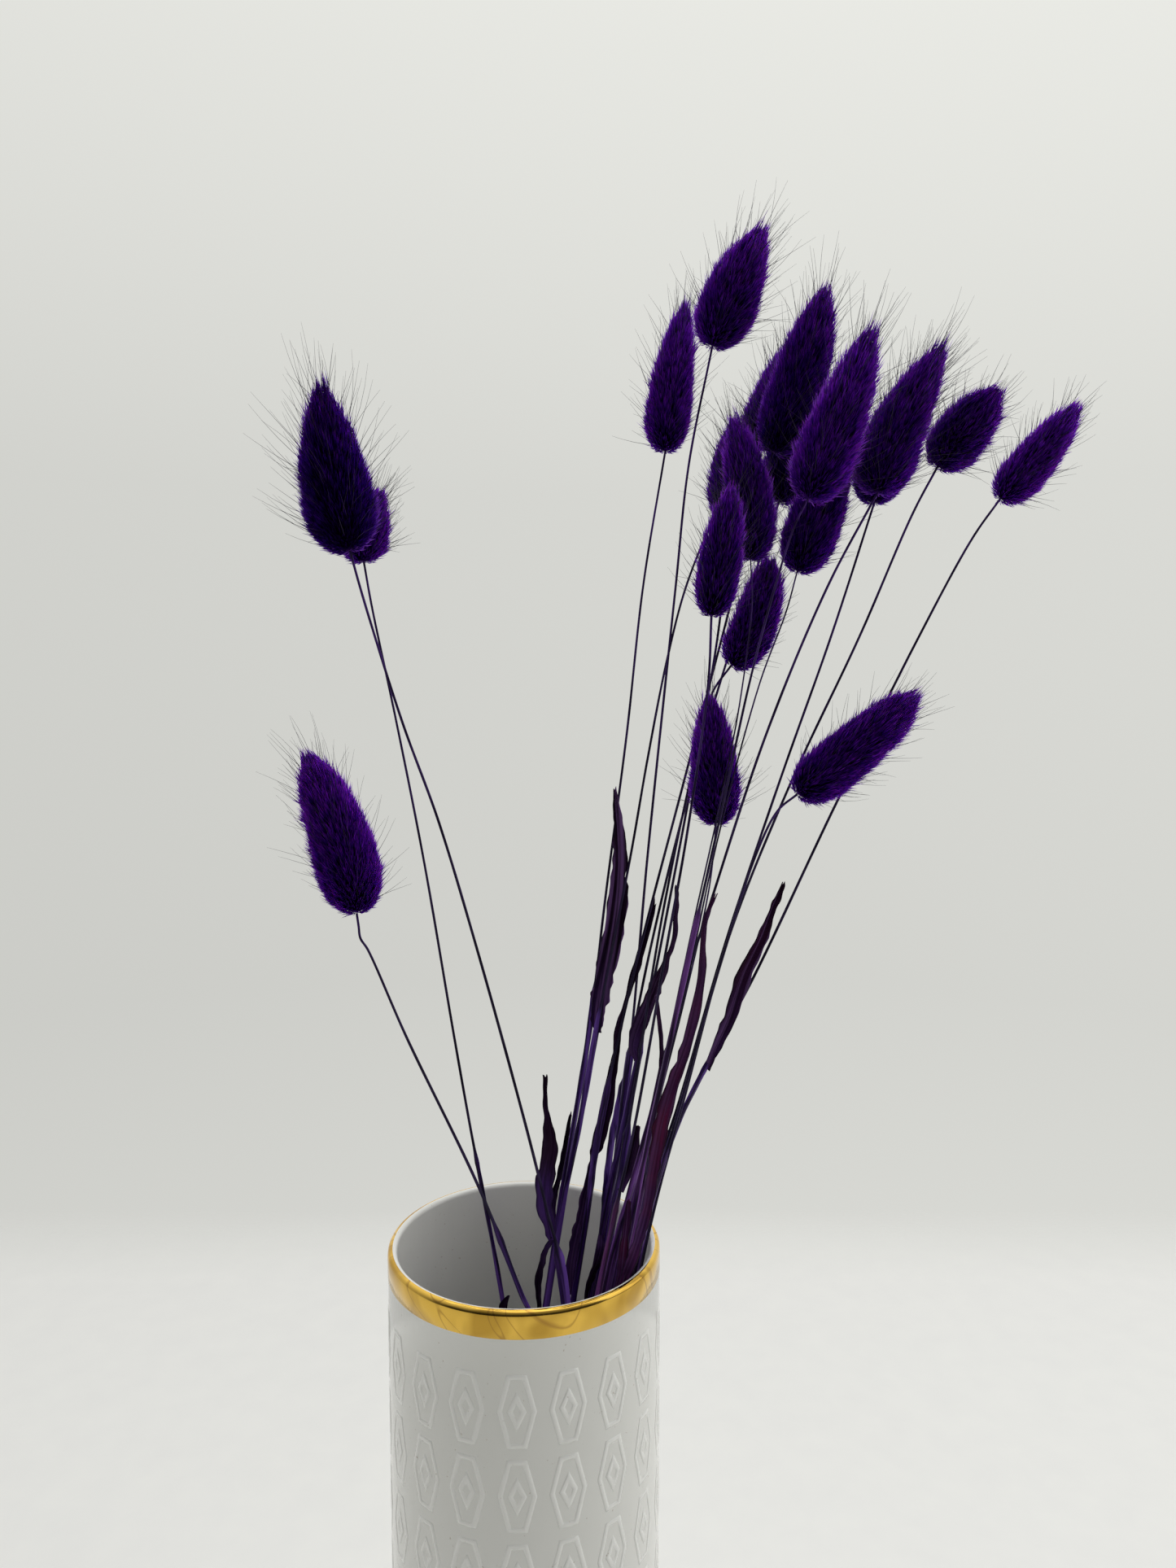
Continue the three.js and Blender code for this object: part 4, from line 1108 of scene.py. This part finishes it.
def makeHead(number, stalk):
    s = headShape
    head = stalk["head"]
    curve = headCurve(stalk)
    length = lengthOf(curve(np.linspace(0, 1, 40)))
    area = headArea(head, length, np.linspace(0, 1, 400))[-1]
    hairs = s["hairSteps"] * math.ceil(area * s["hairsPerArea"] / s["hairSteps"])
    if hairs not in uncombedHeads:
        uncombedHeads[hairs] = uncombedHead(hairs)
    mesh = uncombedHeads[hairs].copy()
    mesh.name = f"head_{number:02d}_fur"
    uncombed = pointsOf(mesh)
    isHair = uncombed[:, 1] < awnLevel / 2
    isBall = uncombed[:, 1] > (awnLevel + ballLevel) / 2
    isAwn = ~isHair & ~isBall
    points = uncombed.copy()
    normals = np.zeros_like(points)
    reach = np.zeros(len(points))
    toneAndPaintedLight = np.ones(len(points))

    # The dense middle.
    ball = uncombed[isBall] - (0, ballLevel, 0)
    share = np.arccos(np.clip(-ball[:, 2], -1, 1)) / math.pi
    angle = np.arctan2(-ball[:, 1], ball[:, 0])
    core = onHead(head, curve, length, share, angle, np.full(len(share), s["core"]))
    points[isBall], normals[isBall] = core[:2]
    # The middle takes the nearly black root colour, painted shade inside the fur.
    reach[isBall] = 0.1

    # The hairs, each a slim cone from its root to its tip.
    root, tip, normal, hairTone = combHair(number, head, curve, length, hairs)
    which, up, outward = strandParts(uncombed[isHair], 0, unit(tip - root), normal)
    arch = normal[which] * (s["arch"] * np.sin(up * math.pi))
    points[isHair] = mix(root[which], tip[which], up) + arch + outward * s["hairRadius"]
    normals[isHair] = unit(normal[which] + s["flare"] * outward)
    reach[isHair] = up[:, 0]
    toneAndPaintedLight[isHair] = hairTone[which] * head["dye"]

    # The awns, long and nearly straight.
    root, way, bend, size = combAwns(number, head, curve, length)
    which, up, outward = strandParts(uncombed[isAwn], awnLevel, way, (-0.3, -0.9, -0.1))
    spine = root[which] + size[which][:, None] * (way[which] * up + bend[which] * up**2)
    points[isAwn] = spine + outward * s["awnRadius"] * mix(1, s["awnPoint"], up)
    normals[isAwn] = outward
    reach[isAwn] = up[:, 0]

    place(mesh, points)
    keep(mesh, "reach", reach)
    keep(mesh, "toneAndPaintedLight", toneAndPaintedLight)
    piece = addPiece(mesh, [fur, awnSkin], f"head_{number:02d}")
    mesh.normals_split_custom_set_from_vertices(normals)
    return piece


for number, stalk in enumerate(stalks, 1):
    makeHead(number, stalk)
for mesh in uncombedHeads.values():
    bpy.data.meshes.remove(mesh)
print("heads made")


# Metres from here on. front, back and above are how bright the room is there, and down is how many
# degrees the camera looks down. Each stop of the backdrop is a share of the way up and its lightness.
studio = {
    "floor": (0.86, 0.86, 0.835, 1), "floorOther": (0.84, 0.84, 0.82, 1), "mottleScale": 60.0,
    "floorRoughness": 0.7, "floorBack": 0.38, "floorFront": -1.3, "floorSides": 1.4, "floorFade": 0.045,
    "front": 0.04, "back": 0.82, "above": 0.45, "roomBlue": 0.98, "backdropTint": (1, 1.005, 0.955),
    "backdrop": ((0, 0.71), (0.04, 0.7), (0.07, 0.665), (0.235, 0.63), (0.63, 0.67),
                 (0.92, 0.79), (1, 0.83)),
    "lens": 26.05, "camera": (0.0174, -0.2991, 0.3474), "down": 5.04,
}

lamps = {
    "softTop": {"at": (0.12, 0.06, 1.1), "aim": (0, 0, 0.1), "size": (0.9, 0.9), "power": 2.5},
    "softSide": {"at": (0.9, -0.1, 0.6), "aim": (0, 0, 0.25), "size": (0.7, 0.9), "power": 1.8},
}


# A pale floor whose far edges fade into the backdrop.
def makeFloor():
    s = studio
    fade = s["floorFade"]
    bm = bmesh.new()
    made = bmesh.ops.create_grid(bm, x_segments=1, y_segments=1, size=s["floorSides"])["verts"]
    back = [v for v in made if v.co.y > 0]
    bmesh.ops.translate(bm, verts=back, vec=(0, s["floorBack"] + fade - s["floorSides"], 0))
    floor = bpy.data.objects.new("floor", newMesh(bm, "floor"))
    bpy.context.scene.collection.objects.link(floor)
    material, tree, shader = newMaterial("paleFloor")
    where = add(tree, "TexCoord").outputs["Object"]
    mottle = spread(tree, noise(tree, where, s["mottleScale"], 4.0), 0.3, 0.7)
    at = add(tree, "SeparateXYZ", {0: where}).outputs
    behind = spread(tree, at["Y"], s["floorBack"] - fade, s["floorBack"] + fade, 1.0, 0.0)
    inFront = spread(tree, at["Y"], s["floorFront"] - fade, s["floorFront"] + fade)
    sideways = maths(tree, "ABSOLUTE", at["X"])
    beside = spread(tree, sideways, s["floorSides"] - 3 * fade, s["floorSides"], 1.0, 0.0)
    feed(tree, shader, {
        "Base Color": blended(tree, mottle, s["floor"], s["floorOther"]),
        "Alpha": product(tree, product(tree, behind, inFront), beside),
        "Roughness": s["floorRoughness"],
    })
    floor.data.materials.append(material)


# The room: bright behind and above the object, dimmer on the camera's side.
def makeRoom():
    world = bpy.data.worlds.new("studio")
    bpy.context.scene.world = world
    world.use_nodes = True
    tree = world.node_tree
    lit = tree.nodes["Background"]
    way = add(tree, "SeparateXYZ", {0: add(tree, "TexCoord").outputs["Generated"]}).outputs
    glow = spread(tree, way["Y"], -0.6, 0.7, studio["front"], studio["back"])
    high = spread(tree, way["Z"], 0.2, 1.0, 0.0, studio["above"])
    level = maths(tree, "ADD", glow, high)
    blue = product(tree, level, studio["roomBlue"])
    colour = add(tree, "CombineColor", {0: level, 1: level, 2: blue})
    feed(tree, lit, {"Color": colour.outputs[0]})
    ramp = add(tree, "ValToRGB", {0: spread(tree, way["Z"], -0.5, 0.55)})
    stops = ramp.color_ramp.elements
    stops.remove(stops[1])
    for spot, value in studio["backdrop"]:
        stop = stops[0] if spot == 0 else stops.new(spot)
        stop.color = [value * part for part in studio["backdropTint"]] + [1]
    across = spread(tree, way["X"], -1.0, 1.0, 0.9, 1.1)
    shown = add(tree, "Background", {"Color": ramp.outputs[0], "Strength": across})
    seen = add(tree, "LightPath").outputs["Is Camera Ray"]
    either = add(tree, "MixShader", {0: seen, 1: lit.outputs[0], 2: shown.outputs[0]})
    feed(tree, tree.nodes["World Output"], {"Surface": either.outputs[0]})


def makeLamp(name):
    s = lamps[name]
    lamp = bpy.data.lights.new(name, "AREA")
    lamp.shape = "RECTANGLE"
    lamp.size, lamp.size_y = s["size"]
    lamp.energy = s["power"]
    made = bpy.data.objects.new(name, lamp)
    made.location = s["at"]
    made.rotation_euler = (Vector(s["aim"]) - Vector(s["at"])).to_track_quat("-Z", "Y").to_euler()
    bpy.context.scene.collection.objects.link(made)


def makeCamera():
    camera = bpy.data.cameras.new("photoView")
    camera.lens = studio["lens"]
    camera.sensor_width = 36
    camera.clip_start = 0.01
    made = bpy.data.objects.new("photoView", camera)
    made.location = studio["camera"]
    made.rotation_euler = (math.radians(90 - studio["down"]), 0, 0)
    bpy.context.scene.collection.objects.link(made)
    bpy.context.scene.camera = made


makeFloor()
makeRoom()
makeLamp("softTop")
makeLamp("softSide")
makeCamera()
bpy.context.scene.view_settings.view_transform = "Standard"
print("studio made")
